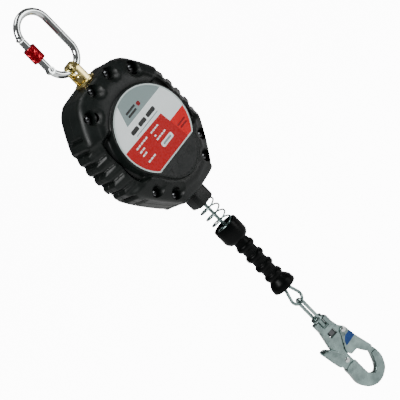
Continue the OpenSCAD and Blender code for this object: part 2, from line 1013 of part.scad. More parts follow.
module grip() {
  half = grip_d / 2;
  bead = ring_d / 2 - half;
  beads = [
    for (i = [0:3])
      for (a = [90:-15:-90])
        [half + bead * cos(a), ring_z - i * ring_pitch + bead_h * sin(a)]
  ];
  color([0.06, 0.06, 0.06])
    rotate_extrude()
      polygon(concat(
        [[rope_r, cup_bottom], [half, cup_bottom]],
        beads,
        [
          [half + 0.5, neck_z], [bell_d / 2 - 5, neck_z - 5], [bell_d / 2 - 1.6, neck_z - 11],
          [bell_d / 2, bell_z + 2], [bell_d / 2 - 1, bell_z], [bell_d / 2 - 3.5, bell_z],
          [ferrule_r, ferrule_bottom + 6], [ferrule_r, ferrule_top + 4],
          [rope_r, ferrule_top + 4]
        ]
      ));
}

module hook_bail() {
  low = bridge_z - bridge_t;
  color("silver") {
    translate([0, 0, eye_z])
      rotate([90, 0, 90])
        rotate_extrude(angle = 180)
          translate([rod_span / 2, 0])
            circle(rod_r);
    for (side = [-1, 1])
      translate([0, side * rod_span / 2, 0])
        rod_z(low + over, eye_z, rod_r);
    rod_z(low, bridge_z, bridge_r);
    rod_z(stem_end, low + over, stem_d / 2);
  }
}

module hook_swivel_nut() {
  color("gray")
    ring_z(hook_nut_top - hook_nut_h, hook_nut_top, hook_nut_r, stem_d / 2);
}

module hook_body() {
  color("silver")
    rotate([0, 0, hook_turn])
      difference() {
        union() {
          along_y(-half_plate, half_plate)
            polygon(hook_upper);
          along_y(-half_band, half_band)
            polygon(hook_lower);
          for (side = [-1, 1])
            translate([side * (ear_in + ear_out) / 2, 0, 0])
              along_y(-half_band, half_band)
                translate([-(ear_out - ear_in) / 2, ear_root])
                  square([ear_out - ear_in, ear_top - ear_root]);
          translate([-ear_out, -half_band, yoke_bottom])
            cube([2 * ear_out, band_w, yoke_h]);
        }
        rod_z(stem_end - over, ear_top, stem_d / 2 + fit);
        translate([-hook_nut_r - gap, -band_w, hook_nut_top - hook_nut_h - 3])
          cube([2 * hook_nut_r + 2 * gap, 2 * band_w, hook_nut_h + 3.3]);
        for (side = [-1, 1])
          translate([nose_recess_at[0], side * (half_plate + half_band), nose_recess_at[1]])
            cube([nose_recess[0], band_w, nose_recess[1]], center = true);
        rod_y(gate_at, -band_w, band_w, rivet_r);
        rod_y(lever_at, -band_w, band_w, rivet_r);
        rod_y(gate_at, -coil_room_y, coil_room_y, rivet_r + coil_room_r);
        rod_y(lever_at, -coil_room_y, coil_room_y, rivet_r + coil_room_r);
      }
}

module hook_gate() {
  color("silver")
    rotate([0, 0, hook_turn])
      difference() {
        union() {
          along_y(-gate_out, -gate_in)
            polygon(gate_side);
          along_y(gate_in, gate_out)
            polygon(gate_side);
          along_y(-gate_out, gate_out)
            polygon(gate_web);
        }
        rod_y(gate_at, -band_w, band_w, rivet_r + fit);
      }
}

// A rivet with two flat heads; reach is half the width that it holds together.
module rivet(at, reach) {
  rotate([0, 0, hook_turn]) {
    rod_y(at, -reach - fit, reach + fit, rivet_r);
    for (side = [0, 1])
      mirror([0, side, 0])
        rod_y(at, reach + fit, reach + rivet_head_h, rivet_r + rivet_head_r);
  }
}

module gate_rivet() {
  color("gray")
    rivet(gate_at, gate_out);
}

module lock_lever() {
  color("silver")
    rotate([0, 0, hook_turn])
      difference() {
        union() {
          along_y(-lever_out, -lever_in)
            polygon(lever_side);
          along_y(lever_in, lever_out)
            polygon(lever_side);
          along_y(-lever_out, lever_out)
            polygon(lever_web);
        }
        rod_y(lever_at, -band_w, band_w, rivet_r + fit);
      }
}

module lever_rivet() {
  color("gray")
    rivet(lever_at, lever_out);
}

module rivet_coil(at) {
  rotate([0, 0, hook_turn])
    translate([at[0], 0, at[1]])
      rotate([90, 0, 0])
        rotate_extrude()
          for (y = [-coil_step, 0, coil_step])
            translate([rivet_r + coil_step, y])
              circle(coil_wire_r);
}

module hook_gate_spring() {
  color("lightgray")
    rivet_coil(gate_at);
}

module lever_spring() {
  color("lightgray")
    rivet_coil(lever_at);
}

carabiner_body();
carabiner_gate();
carabiner_gate_pin();
carabiner_gate_spring();
carabiner_gate_plunger();
carabiner_sleeve();
sleeve_thread_ring();
swivel_bail();
swivel_bolt();
swivel_nut();
thrust_washer();
crosshead();
frame_plate_front();
frame_plate_rear();
frame_spacers();
frame_screws();
front_cover();
rear_cover();
cover_screws();
label_plate();
main_shaft();
shaft_nuts();
cable_drum();
drum_bushes();
rope_winding();
spring_arbor();
spring_case();
spring_case_screws();
power_spring();
brake_linings();
ratchet_ring();
pressure_ring();
brake_screws();
pawl_plate();
pawl_pins();
pawl_upper();
pawl_lower();
pawl_springs();
nozzle();
rope_guide();
rope_run();
rope_eye();
ferrule();
bumper_spring();
bumper_cup();
cup_washer();
grip();
hook_bail();
hook_swivel_nut();
hook_body();
hook_gate();
gate_rivet();
hook_gate_spring();
lock_lever();
lever_rivet();
lever_spring();
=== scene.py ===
"""Self retracting lifeline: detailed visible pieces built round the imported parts."""

import json
import math

import bmesh
import bpy
from mathutils import Matrix, Vector


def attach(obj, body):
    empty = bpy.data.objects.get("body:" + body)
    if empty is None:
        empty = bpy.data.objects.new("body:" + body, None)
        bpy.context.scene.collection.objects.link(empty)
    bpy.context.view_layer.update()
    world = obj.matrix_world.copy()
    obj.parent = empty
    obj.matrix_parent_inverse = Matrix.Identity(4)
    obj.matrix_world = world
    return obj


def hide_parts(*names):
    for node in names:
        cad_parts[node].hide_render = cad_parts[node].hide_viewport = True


bl_info = {
    "name": "Self Retracting Lifeline",
    "version": (1, 0, 0),
    "blender": (4, 5, 0),
    "location": "View3D > Sidebar > Lifeline",
    "description": "Builds the pieces, finishes and stage of a self retracting lifeline",
    "category": "Object",
}

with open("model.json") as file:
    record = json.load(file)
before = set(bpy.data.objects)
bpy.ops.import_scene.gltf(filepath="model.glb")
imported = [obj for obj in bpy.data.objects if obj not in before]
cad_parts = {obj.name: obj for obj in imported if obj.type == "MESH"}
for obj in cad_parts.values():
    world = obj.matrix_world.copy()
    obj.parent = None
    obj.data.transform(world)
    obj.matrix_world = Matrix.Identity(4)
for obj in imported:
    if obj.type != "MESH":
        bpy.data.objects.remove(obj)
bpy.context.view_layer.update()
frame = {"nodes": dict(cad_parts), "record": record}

MM = 0.001
TAU = math.tau
UP = Vector((0, 0, 1))

# heights and distances in millimetres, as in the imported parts
DRUM_Z = -217.0
LABEL_Z = -216.0
LABEL_R = 60.0
LABEL_CUT = 45.0
BAND_Y = 15.0
FRONT_Y = 41.6
HOOK_TURN = math.radians(-17)


# ---------------------------------------------------------------- settings


class LifelineSizes(bpy.types.PropertyGroup):
    """Sizes of the visible details"""

    rib_height: bpy.props.FloatProperty(
        name="Rib height",
        description="How far a side rib stands out of the housing",
        default=4.4 * MM,
        unit="LENGTH",
    )
    rib_pitch: bpy.props.FloatProperty(
        name="Rib pitch",
        description="Distance between two side ribs",
        default=17 * MM,
        unit="LENGTH",
    )
    pocket_radius: bpy.props.FloatProperty(
        name="Pocket radius",
        description="Radius of a screw pocket in the front of the housing",
        default=7.6 * MM,
        unit="LENGTH",
    )
    rope_diameter: bpy.props.FloatProperty(
        name="Rope diameter",
        description="Diameter of the wire rope",
        default=4.8 * MM,
        unit="LENGTH",
    )
    rope_lay: bpy.props.FloatProperty(
        name="Rope lay",
        description="Length of one turn of a strand round the rope",
        default=30 * MM,
        unit="LENGTH",
    )
    spring_wire: bpy.props.FloatProperty(
        name="Spring wire",
        description="Diameter of the bumper spring's wire",
        default=2.4 * MM,
        unit="LENGTH",
    )
    knurl_depth: bpy.props.FloatProperty(
        name="Knurl depth",
        description="Depth of the diamond knurl on the screw sleeve",
        default=0.7 * MM,
        unit="LENGTH",
    )
    grip_rib_depth: bpy.props.FloatProperty(
        name="Grip rib depth",
        description="Depth of the fine ribs along the grip",
        default=0.45 * MM,
        unit="LENGTH",
    )
    sky_strength: bpy.props.FloatProperty(
        name="Sky strength",
        description="Brightness of the even light from all round",
        default=0.13,
    )
    floor_glow: bpy.props.FloatProperty(
        name="Floor glow",
        description="How much brighter the floor looks to the camera",
        default=12.0,
    )
    camera_distance: bpy.props.FloatProperty(
        name="Camera distance",
        description="Distance from the camera to the middle of the lifeline",
        default=2.6,
        unit="LENGTH",
    )
    camera_turn: bpy.props.FloatProperty(
        name="Camera azimuth",
        description="Direction the camera looks from, round the lifeline",
        default=math.radians(-31),
        subtype="ANGLE",
    )
    camera_rise: bpy.props.FloatProperty(
        name="Camera elevation",
        description="Height of the camera above the horizon",
        default=math.radians(15),
        subtype="ANGLE",
    )
    camera_roll: bpy.props.FloatProperty(
        name="Camera roll",
        description="Turn of the picture, anticlockwise",
        default=math.radians(44.42),
        subtype="ANGLE",
    )


def colour_property(name, words, default):
    return bpy.props.FloatVectorProperty(
        name=name, description=words, subtype="COLOR", size=3, min=0, max=1, default=default
    )


class LifelineColours(bpy.types.PropertyGroup):
    """Colours of the finishes"""

    housing: colour_property("Housing", "Moulded plastic of the housing", (0.0035, 0.0055, 0.0048))
    rubber: colour_property("Grip", "Rubber of the grip", (0.0012, 0.0017, 0.0017))
    zinc: colour_property("Zinc", "Zinc plate on the hook and the frame", (0.27, 0.36, 0.345))
    steel: colour_property("Steel", "Bright steel", (0.70, 0.74, 0.73))
    dark_steel: colour_property("Dark steel", "Oiled steel", (0.12, 0.125, 0.13))
    gold: colour_property("Yellow zinc", "Yellow passivated steel", (0.80, 0.66, 0.26))
    red: colour_property("Sleeve", "Red anodised screw sleeve", (0.30, 0.002, 0.010))
    label_grey: colour_property("Label grey", "Grey field of the label", (0.22, 0.30, 0.30))
    label_white: colour_property("Label white", "White field of the label", (0.90, 0.97, 0.97))
    label_red: colour_property("Label red", "Red field of the label", (0.46, 0.0003, 0.0015))
    label_dark_red: colour_property("Label dark red", "Darker red field", (0.66, 0.0004, 0.002))
    label_accent: colour_property("Label accent", "Darkest red", (0.22, 0.001, 0.003))
    label_border: colour_property("Label border", "Rim round the label", (0.50, 0.60, 0.58))
    blue: colour_property("Blue mark", "Patch on the gate", (0.01, 0.05, 0.2))
    bronze: colour_property("Bronze", "Bushes and washer", (0.50, 0.30, 0.12))
    nylon: colour_property("Nylon", "Rope guide", (0.66, 0.62, 0.50))
    aluminium: colour_property("Aluminium", "Cast drum and ferrule", (0.60, 0.61, 0.62))
    lining: colour_property("Lining", "Friction lining", (0.10, 0.055, 0.035))
    backdrop: colour_property("Backdrop", "Floor and backdrop", (1.0, 1.0, 1.0))


# ---------------------------------------------------------------- finishes


def group_socket(group, name, in_out, kind, value=None):
    socket = group.interface.new_socket(name=name, in_out=in_out, socket_type=kind)
    if value is not None:
        socket.default_value = value
    return socket


def moulding_group():
    """Fine texture and broad uneven tone of a moulded or plated surface."""
    group = bpy.data.node_groups.get("Surface Grain")
    if group:
        return group
    group = bpy.data.node_groups.new("Surface Grain", "ShaderNodeTree")
    group_socket(group, "Color", "INPUT", "NodeSocketColor", (0.5, 0.5, 0.5, 1))
    group_socket(group, "Grain Scale", "INPUT", "NodeSocketFloat", 900.0)
    group_socket(group, "Cloud Scale", "INPUT", "NodeSocketFloat", 30.0)
    group_socket(group, "Swell", "INPUT", "NodeSocketFloat", 0.0)
    group_socket(group, "Tone Change", "INPUT", "NodeSocketFloat", 0.2)
    group_socket(group, "Roughness", "INPUT", "NodeSocketFloat", 0.4)
    group_socket(group, "Roughness Change", "INPUT", "NodeSocketFloat", 0.1)
    group_socket(group, "Color", "OUTPUT", "NodeSocketColor")
    group_socket(group, "Roughness", "OUTPUT", "NodeSocketFloat")
    group_socket(group, "Height", "OUTPUT", "NodeSocketFloat")
    nodes, links = group.nodes, group.links
    given = nodes.new("NodeGroupInput")
    out = nodes.new("NodeGroupOutput")
    place = nodes.new("ShaderNodeTexCoord")
    grain = nodes.new("ShaderNodeTexNoise")
    grain.inputs["Detail"].default_value = 3
    cloud = nodes.new("ShaderNodeTexNoise")
    cloud.inputs["Detail"].default_value = 4
    links.new(place.outputs["Object"], grain.inputs["Vector"])
    links.new(place.outputs["Object"], cloud.inputs["Vector"])
    links.new(given.outputs["Grain Scale"], grain.inputs["Scale"])
    links.new(given.outputs["Cloud Scale"], cloud.inputs["Scale"])
    centred = nodes.new("ShaderNodeMath")
    centred.operation = "SUBTRACT"
    centred.inputs[1].default_value = 0.5
    links.new(cloud.outputs["Fac"], centred.inputs[0])
    change = nodes.new("ShaderNodeMath")
    change.operation = "MULTIPLY_ADD"
    change.inputs[2].default_value = 1.0
    links.new(centred.outputs[0], change.inputs[0])
    links.new(given.outputs["Tone Change"], change.inputs[1])
    tone = nodes.new("ShaderNodeVectorMath")
    tone.operation = "SCALE"
    links.new(given.outputs["Color"], tone.inputs[0])
    links.new(change.outputs[0], tone.inputs["Scale"])
    rough = nodes.new("ShaderNodeMath")
    rough.operation = "MULTIPLY_ADD"
    rough.use_clamp = True
    links.new(centred.outputs[0], rough.inputs[0])
    links.new(given.outputs["Roughness Change"], rough.inputs[1])
    links.new(given.outputs["Roughness"], rough.inputs[2])
    links.new(tone.outputs[0], out.inputs["Color"])
    links.new(rough.outputs[0], out.inputs["Roughness"])
    height = nodes.new("ShaderNodeMath")
    height.operation = "MULTIPLY_ADD"
    links.new(cloud.outputs["Fac"], height.inputs[0])
    links.new(given.outputs["Swell"], height.inputs[1])
    links.new(grain.outputs["Fac"], height.inputs[2])
    links.new(height.outputs[0], out.inputs["Height"])
    return group


def finish(name, colour, metallic=0.0, roughness=0.4, grain=900.0, bump=0.1, depth=0.0002,
           tone=0.25, cloud=30.0, change=0.15, swell=0.0, specular=0.5):
    """A painted, plated or moulded finish; every one has its own grain and cloud."""
    material = bpy.data.materials.get(name)
    if material:
        return material
    material = bpy.data.materials.new(name)
    material.use_nodes = True
    nodes, links = material.node_tree.nodes, material.node_tree.links
    shader = nodes["Principled BSDF"]
    surface = nodes.new("ShaderNodeGroup")
    surface.node_tree = moulding_group()
    surface.inputs["Color"].default_value = (*colour, 1)
    surface.inputs["Grain Scale"].default_value = grain
    surface.inputs["Cloud Scale"].default_value = cloud
    surface.inputs["Swell"].default_value = swell
    surface.inputs["Tone Change"].default_value = tone
    surface.inputs["Roughness"].default_value = roughness
    surface.inputs["Roughness Change"].default_value = change
    shader.inputs["Metallic"].default_value = metallic
    shader.inputs["Specular IOR Level"].default_value = specular
    relief = nodes.new("ShaderNodeBump")
    relief.inputs["Strength"].default_value = bump
    relief.inputs["Distance"].default_value = depth
    links.new(surface.outputs["Color"], shader.inputs["Base Color"])
    links.new(surface.outputs["Roughness"], shader.inputs["Roughness"])
    links.new(surface.outputs["Height"], relief.inputs["Height"])
    links.new(relief.outputs["Normal"], shader.inputs["Normal"])
    material.diffuse_color = (*colour, 1)
    return material


def finishes():
    """Every finish by name, with the colours of the settings."""
    c = bpy.context.scene.lifeline_colours
    return {
        "housing": finish("Housing Plastic", c.housing, roughness=0.4, grain=1500, bump=0.5,
                          depth=0.0002, tone=0.9, cloud=70, change=0.3, specular=0.27),
        "cup": finish("Cup Plastic", c.rubber, roughness=0.3, grain=1500, bump=0.1, tone=0.4,
                      specular=0.1),
        "rubber": finish("Grip Rubber", c.rubber, roughness=0.36, grain=2200, bump=0.3,
                         tone=0.4, specular=0.1),
        "zinc": finish("Zinc Plate", c.zinc, metallic=1.0, roughness=0.2, grain=700, bump=0.3,
                       depth=0.0005, tone=1.4, cloud=90, change=0.3, swell=6.0),
        "chrome": finish("Polished Zinc", c.steel, metallic=1.0, roughness=0.1, grain=900,
                         bump=0.05, tone=0.2, cloud=60, change=0.1),
        "forged": finish("Forged Zinc", c.zinc, metallic=1.0, roughness=0.26, grain=500, bump=0.4,
                         depth=0.0006, tone=1.6, cloud=70, change=0.4, swell=8.0),
        "steel": finish("Bright Steel", c.steel, metallic=1.0, roughness=0.18, bump=0.06),
        "screw": finish("Blackened Screw", c.dark_steel, metallic=1.0, roughness=0.2, bump=0.06),
        "dark": finish("Oiled Steel", c.dark_steel, metallic=1.0, roughness=0.35, bump=0.1),
        "frame": finish("Plated Frame", c.zinc, metallic=1.0, roughness=0.38, bump=0.1),
        "gold": finish("Yellow Zinc", c.gold, metallic=1.0, roughness=0.2, grain=600, bump=0.1,
                       tone=0.6, cloud=90, change=0.15, swell=2.0),
        "red": finish("Red Anodised", c.red, metallic=0.8, roughness=0.25, bump=0.1, tone=0.3),
        "rope": finish("Galvanised Wire", c.zinc, metallic=1.0, roughness=0.35, grain=2500,
                       bump=0.3, tone=0.9, cloud=200),
        "grey": finish("Label Grey", c.label_grey, roughness=0.3, bump=0.02, tone=0.08,
                       specular=0.2),
        "white": finish("Label White", c.label_white, roughness=0.3, bump=0.02, tone=0.05,
                        specular=0.2),
        "label_red": finish("Label Red", c.label_red, roughness=0.3, bump=0.02, tone=0.1,
                            specular=0.12),
        "label_dark": finish("Label Dark Red", c.label_dark_red, roughness=0.3, bump=0.02,
                             tone=0.1, specular=0.12),
        "label_deep": finish("Label Accent", c.label_accent, roughness=0.3, bump=0.02,
                             specular=0.12),
        "grey_rim": finish("Label Border", c.label_border, roughness=0.25, bump=0.02),
        "print": finish("Label Print", c.housing, roughness=0.3, bump=0.02, specular=0.2),
        "bronze": finish("Bronze", c.bronze, metallic=1.0, roughness=0.35),
        "nylon": finish("Nylon", c.nylon, roughness=0.35, bump=0.05, tone=0.1),
        "aluminium": finish("Cast Aluminium", c.aluminium, metallic=1.0, roughness=0.42,
                            bump=0.25, grain=600),
        "lining": finish("Friction Lining", c.lining, roughness=0.8, bump=0.5),
        "blue": finish("Blue Mark", c.blue, metallic=0.5, roughness=0.25, bump=0.1, tone=0.8,
                       cloud=120),
    }


# ---------------------------------------------------------------- shaping


def add_piece(name, bm, materials, body, replaces=(), sharp=35):
    """Turns a bmesh in millimetres into a finished piece that rides on a body."""
    bmesh.ops.remove_doubles(bm, verts=bm.verts, dist=0.002)
    bmesh.ops.recalc_face_normals(bm, faces=bm.faces)
    bm.transform(Matrix.Scale(MM, 4))
    mesh = bpy.data.meshes.new(name)
    bm.to_mesh(mesh)
    bm.free()
    for material in materials if isinstance(materials, (list, tuple)) else [materials]:
        mesh.materials.append(material)
    mesh.shade_smooth()
    mesh.set_sharp_from_angle(angle=math.radians(sharp))
    piece = bpy.data.objects.new(name, mesh)
    bpy.context.scene.collection.objects.link(piece)
    if replaces:
        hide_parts(*replaces)
    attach(piece, body)
    return piece


def lathe(bm, profile, steps=64, matrix=None, closed=False):
    """Spins a profile of (radius, height) points about Z, then places it."""
    points = [bm.verts.new((r, 0, z)) for r, z in profile]
    pairs = list(zip(points, points[1:]))
    if closed:
        pairs.append((points[-1], points[0]))
    edges = [bm.edges.new(pair) for pair in pairs]
    made = set(points)
    old = set(bm.verts) - made
    bmesh.ops.spin(
        bm, geom=points + edges, cent=(0, 0, 0), axis=(0, 0, 1), dvec=(0, 0, 0),
        angle=TAU, steps=steps, use_merge=True,
    )
    new = [v for v in bm.verts if v not in old]
    bmesh.ops.remove_doubles(bm, verts=new, dist=0.002)
    new = [v for v in bm.verts if v not in old]
    if matrix:
        bmesh.ops.transform(bm, matrix=matrix, verts=new)
    return new


def ring_faces(bm, rings, close=False):
    """Joins each ring of edges to the next."""
    pairs = list(zip(rings, rings[1:]))
    if close:
        pairs.append((rings[-1], rings[0]))
    for a, b in pairs:
        bmesh.ops.bridge_loops(bm, edges=a + b)


def cap(bm, ring):
    bmesh.ops.edgeloop_fill(bm, edges=ring)


def frames_along(points, up=UP):
    """A turning frame at each point of a path, with no twist between them."""
    count = len(points)
    frames = []
    side = None
    for i, point in enumerate(points):
        ahead = points[min(i + 1, count - 1)] - points[max(i - 1, 0)]
        ahead.normalize()
        if side is None:
            start = up if abs(ahead.dot(up)) < 0.9 else Vector((1, 0, 0))
            side = ahead.cross(start).normalized()
        side = (side - ahead * side.dot(ahead)).normalized()
        frames.append((point, side, ahead.cross(side).normalized(), ahead))
    return frames


def tube(bm, points, radius, sides=12, capped=True):
    """Sweeps a circle along a path; radius may be a number or one per point."""
    rings = []
    for i, (point, side, other, ahead) in enumerate(frames_along(points)):
        turn = Matrix((side, other, ahead)).transposed().to_4x4()
        r = radius[i] if isinstance(radius, (list, tuple)) else radius
        made = bmesh.ops.create_circle(
            bm, cap_ends=False, radius=r, segments=sides, matrix=Matrix.Translation(point) @ turn
        )
        rings.append(list({e for v in made["verts"] for e in v.link_edges}))
    ring_faces(bm, rings)
    if capped:
        cap(bm, rings[0])
        cap(bm, rings[-1])


def stranded(bm, points, rope_r, lay, strands=6, sides=8):
    """Strands laid helically along a path, round a core."""
    strand_r = rope_r * 0.36
    offset = rope_r - strand_r
    frames = frames_along(points)
    walked = [0.0]
    for a, b in zip(points, points[1:]):
        walked.append(walked[-1] + (b - a).length)
    for k in range(strands):
        path = []
        for (point, side, other, _), s in zip(frames, walked):
            a = TAU * (k / strands + s / lay)
            path.append(point + (side * math.cos(a) + other * math.sin(a)) * offset)
        tube(bm, path, strand_r, sides)
    tube(bm, points, rope_r * 0.42, sides)


def slab(bm, outline, y_from, y_to, round_over=0.0, segments=3):
    """A plate cut to an outline of (x, z) points and rounded over on its outer edges."""
    corners = [bm.verts.new((x, y_from, z)) for x, z in outline]
    face = bm.faces.new(corners)
    pulled = bmesh.ops.extrude_face_region(bm, geom=[face], use_keep_orig=True)["geom"]
    top = [v for v in pulled if isinstance(v, bmesh.types.BMVert)]
    bmesh.ops.translate(bm, verts=top, vec=(0, y_to - y_from, 0))
    if round_over:
        both = set(corners), set(top)
        rim = [
            e for e in {e for v in corners + top for e in v.link_edges}
            if any(e.verts[0] in s and e.verts[1] in s for s in both)
        ]
        bmesh.ops.bevel(
            bm, geom=rim, offset=round_over, offset_type="OFFSET", segments=segments,
            profile=0.5, affect="EDGES", material=-1, clamp_overlap=True,
        )


def flowing(points, per=6, closed=True):
    """More points along a smooth curve through the given (x, z) points."""
    count = len(points)
    out = []
    for i in range(count if closed else count - 1):
        if closed:
            p = [Vector(points[(i + k) % count]) for k in (-1, 0, 1, 2)]
        else:
            p = [Vector(points[min(max(i + k, 0), count - 1)]) for k in (-1, 0, 1, 2)]
        for j in range(per):
            t = j / per
            out.append(
                0.5 * (2 * p[1] + (p[2] - p[0]) * t
                       + (2 * p[0] - 5 * p[1] + 4 * p[2] - p[3]) * t * t
                       + (3 * p[1] - p[0] - 3 * p[2] + p[3]) * t ** 3)
            )
    if not closed:
        out.append(Vector(points[-1]))
    return out


def ease(x):
    x = min(max(x, 0.0), 1.0)
    return x * x * (3 - 2 * x)


def loose(bm):
    """A helper object from a bmesh, for cutting."""
    bmesh.ops.recalc_face_normals(bm, faces=bm.faces)
    mesh = bpy.data.meshes.new("cutter")
    bm.to_mesh(mesh)
    bm.free()
    helper = bpy.data.objects.new("cutter", mesh)
    bpy.context.scene.collection.objects.link(helper)
    return helper


def carve(solid, helper, operation="DIFFERENCE"):
    """Applies a cut at once and removes the cutter."""
    modifier = solid.modifiers.new("Cut", "BOOLEAN")
    modifier.operation = operation
    modifier.object = helper
    modifier.solver = "EXACT"
    bpy.context.view_layer.update()
    graph = bpy.context.evaluated_depsgraph_get()
    result = bpy.data.meshes.new_from_object(solid.evaluated_get(graph))
    solid.modifiers.clear()
    solid.data = result
    bpy.data.objects.remove(helper)


def as_bmesh(solid):
    """The helper's mesh as a bmesh again; the helper goes."""
    bm = bmesh.new()
    bm.from_mesh(solid.data)
    bpy.data.objects.remove(solid)
    return bm


def along_y(x, z, y=0.0):
    """A matrix that lays a lathed shape's axis along -Y at (x, z)."""
    return Matrix.Translation((x, y, z)) @ Matrix.Rotation(math.radians(90), 4, "X")


def skin(bm, rings):
    """A surface through rings of points; every ring has the same number of points."""
    verts = [bm.verts.new(p) for p in rings[0]]
    edges = [bm.edges.new(pair) for pair in zip(verts, verts[1:] + verts[:1])]
    first = edges
    for ring in rings[1:]:
        grown = bmesh.ops.extrude_edge_only(bm, edges=edges)["geom"]
        fresh = {g for g in grown if isinstance(g, bmesh.types.BMVert)}
        edges = [
            g for g in grown
            if isinstance(g, bmesh.types.BMEdge) and all(v in fresh for v in g.verts)
        ]
        verts = [next(e.other_vert(v) for e in v.link_edges if e.other_vert(v) in fresh)
                 for v in verts]
        for vert, point in zip(verts, ring):
            vert.co = point
    return first, edges


def closed_skin(bm, rings):
    first, last = skin(bm, rings)
    cap(bm, first)
    cap(bm, last)


def polar(outline, centre, count):
    """An outline's distance from a centre in evenly spaced directions."""
    cx, cz = centre
    loop = list(outline) + [outline[0]]
    out = []
    for k in range(count):
        a = TAU * k / count
        dx, dz = math.sin(a), math.cos(a)
        best = 0.0
        for p, q in zip(loop, loop[1:]):
            px, pz, qx, qz = p[0] - cx, p[1] - cz, q[0] - cx, q[1] - cz
            sx, sz = qx - px, qz - pz
            cross = dx * sz - dz * sx
            if abs(cross) < 1e-12:
                continue
            along = (px * sz - pz * sx) / cross
            part = (px * dz - pz * dx) / cross
            if -1e-9 <= part <= 1 + 1e-9 and along > best:
                best = along
        out.append(best)
    return out


# ---------------------------------------------------------------- housing

CASE_OUTLINE = [
    (30, -118.5), (42, -121), (53, -128), (63, -141), (72, -155), (79, -168), (84, -182),
    (86.3, -200), (86.6, -217), (86, -234), (82.5, -250), (75, -264), (62, -283), (47, -302),
    (37, -313), (28, -319),
]
SCREWS = [(18, -125), (51, -145), (57, -277), (38, -300)]
SHOULDER = (0.79, 0.93)
CASE_CENTRE = (0.0, DRUM_Z)


def band_outline():
    right = [Vector(p) for p in CASE_OUTLINE]
    left = [Vector((-p[0], p[1])) for p in reversed(CASE_OUTLINE)]
    return flowing(right + left, per=6)


def rim_outline():
    """The raised oval round the label: two circles joined by their tangents."""
    big, small, low = 62.0, 40.0, -254.0
    lean = math.asin((big - small) / (LABEL_Z - low))
    steps = 90
    upper = [
        (big * math.cos(a), LABEL_Z + big * math.sin(a))
        for a in (-lean + (math.pi + 2 * lean) * i / steps for i in range(steps + 1))
    ]
    lower = [
        (small * math.cos(a), low + small * math.sin(a))
        for a in (math.pi + lean + (math.pi - 2 * lean) * i / steps for i in range(steps + 1))
    ]
    return upper + lower


def rib_wave(z, pitch):
    """1 on top of a rib and 0 in the narrow groove pair between two ribs."""
    u = abs(((z - DRUM_Z) / pitch + 0.5) % 1.0 - 0.5)
    wide = (1 - ease((u - 0.16) / 0.27)) * 0.8 + 0.2 * (1 - ease((u - 0.36) / 0.05))
    bead = 0.42 * (1 - ease(abs(u - 0.5) / 0.06))
    return max(wide, bead)


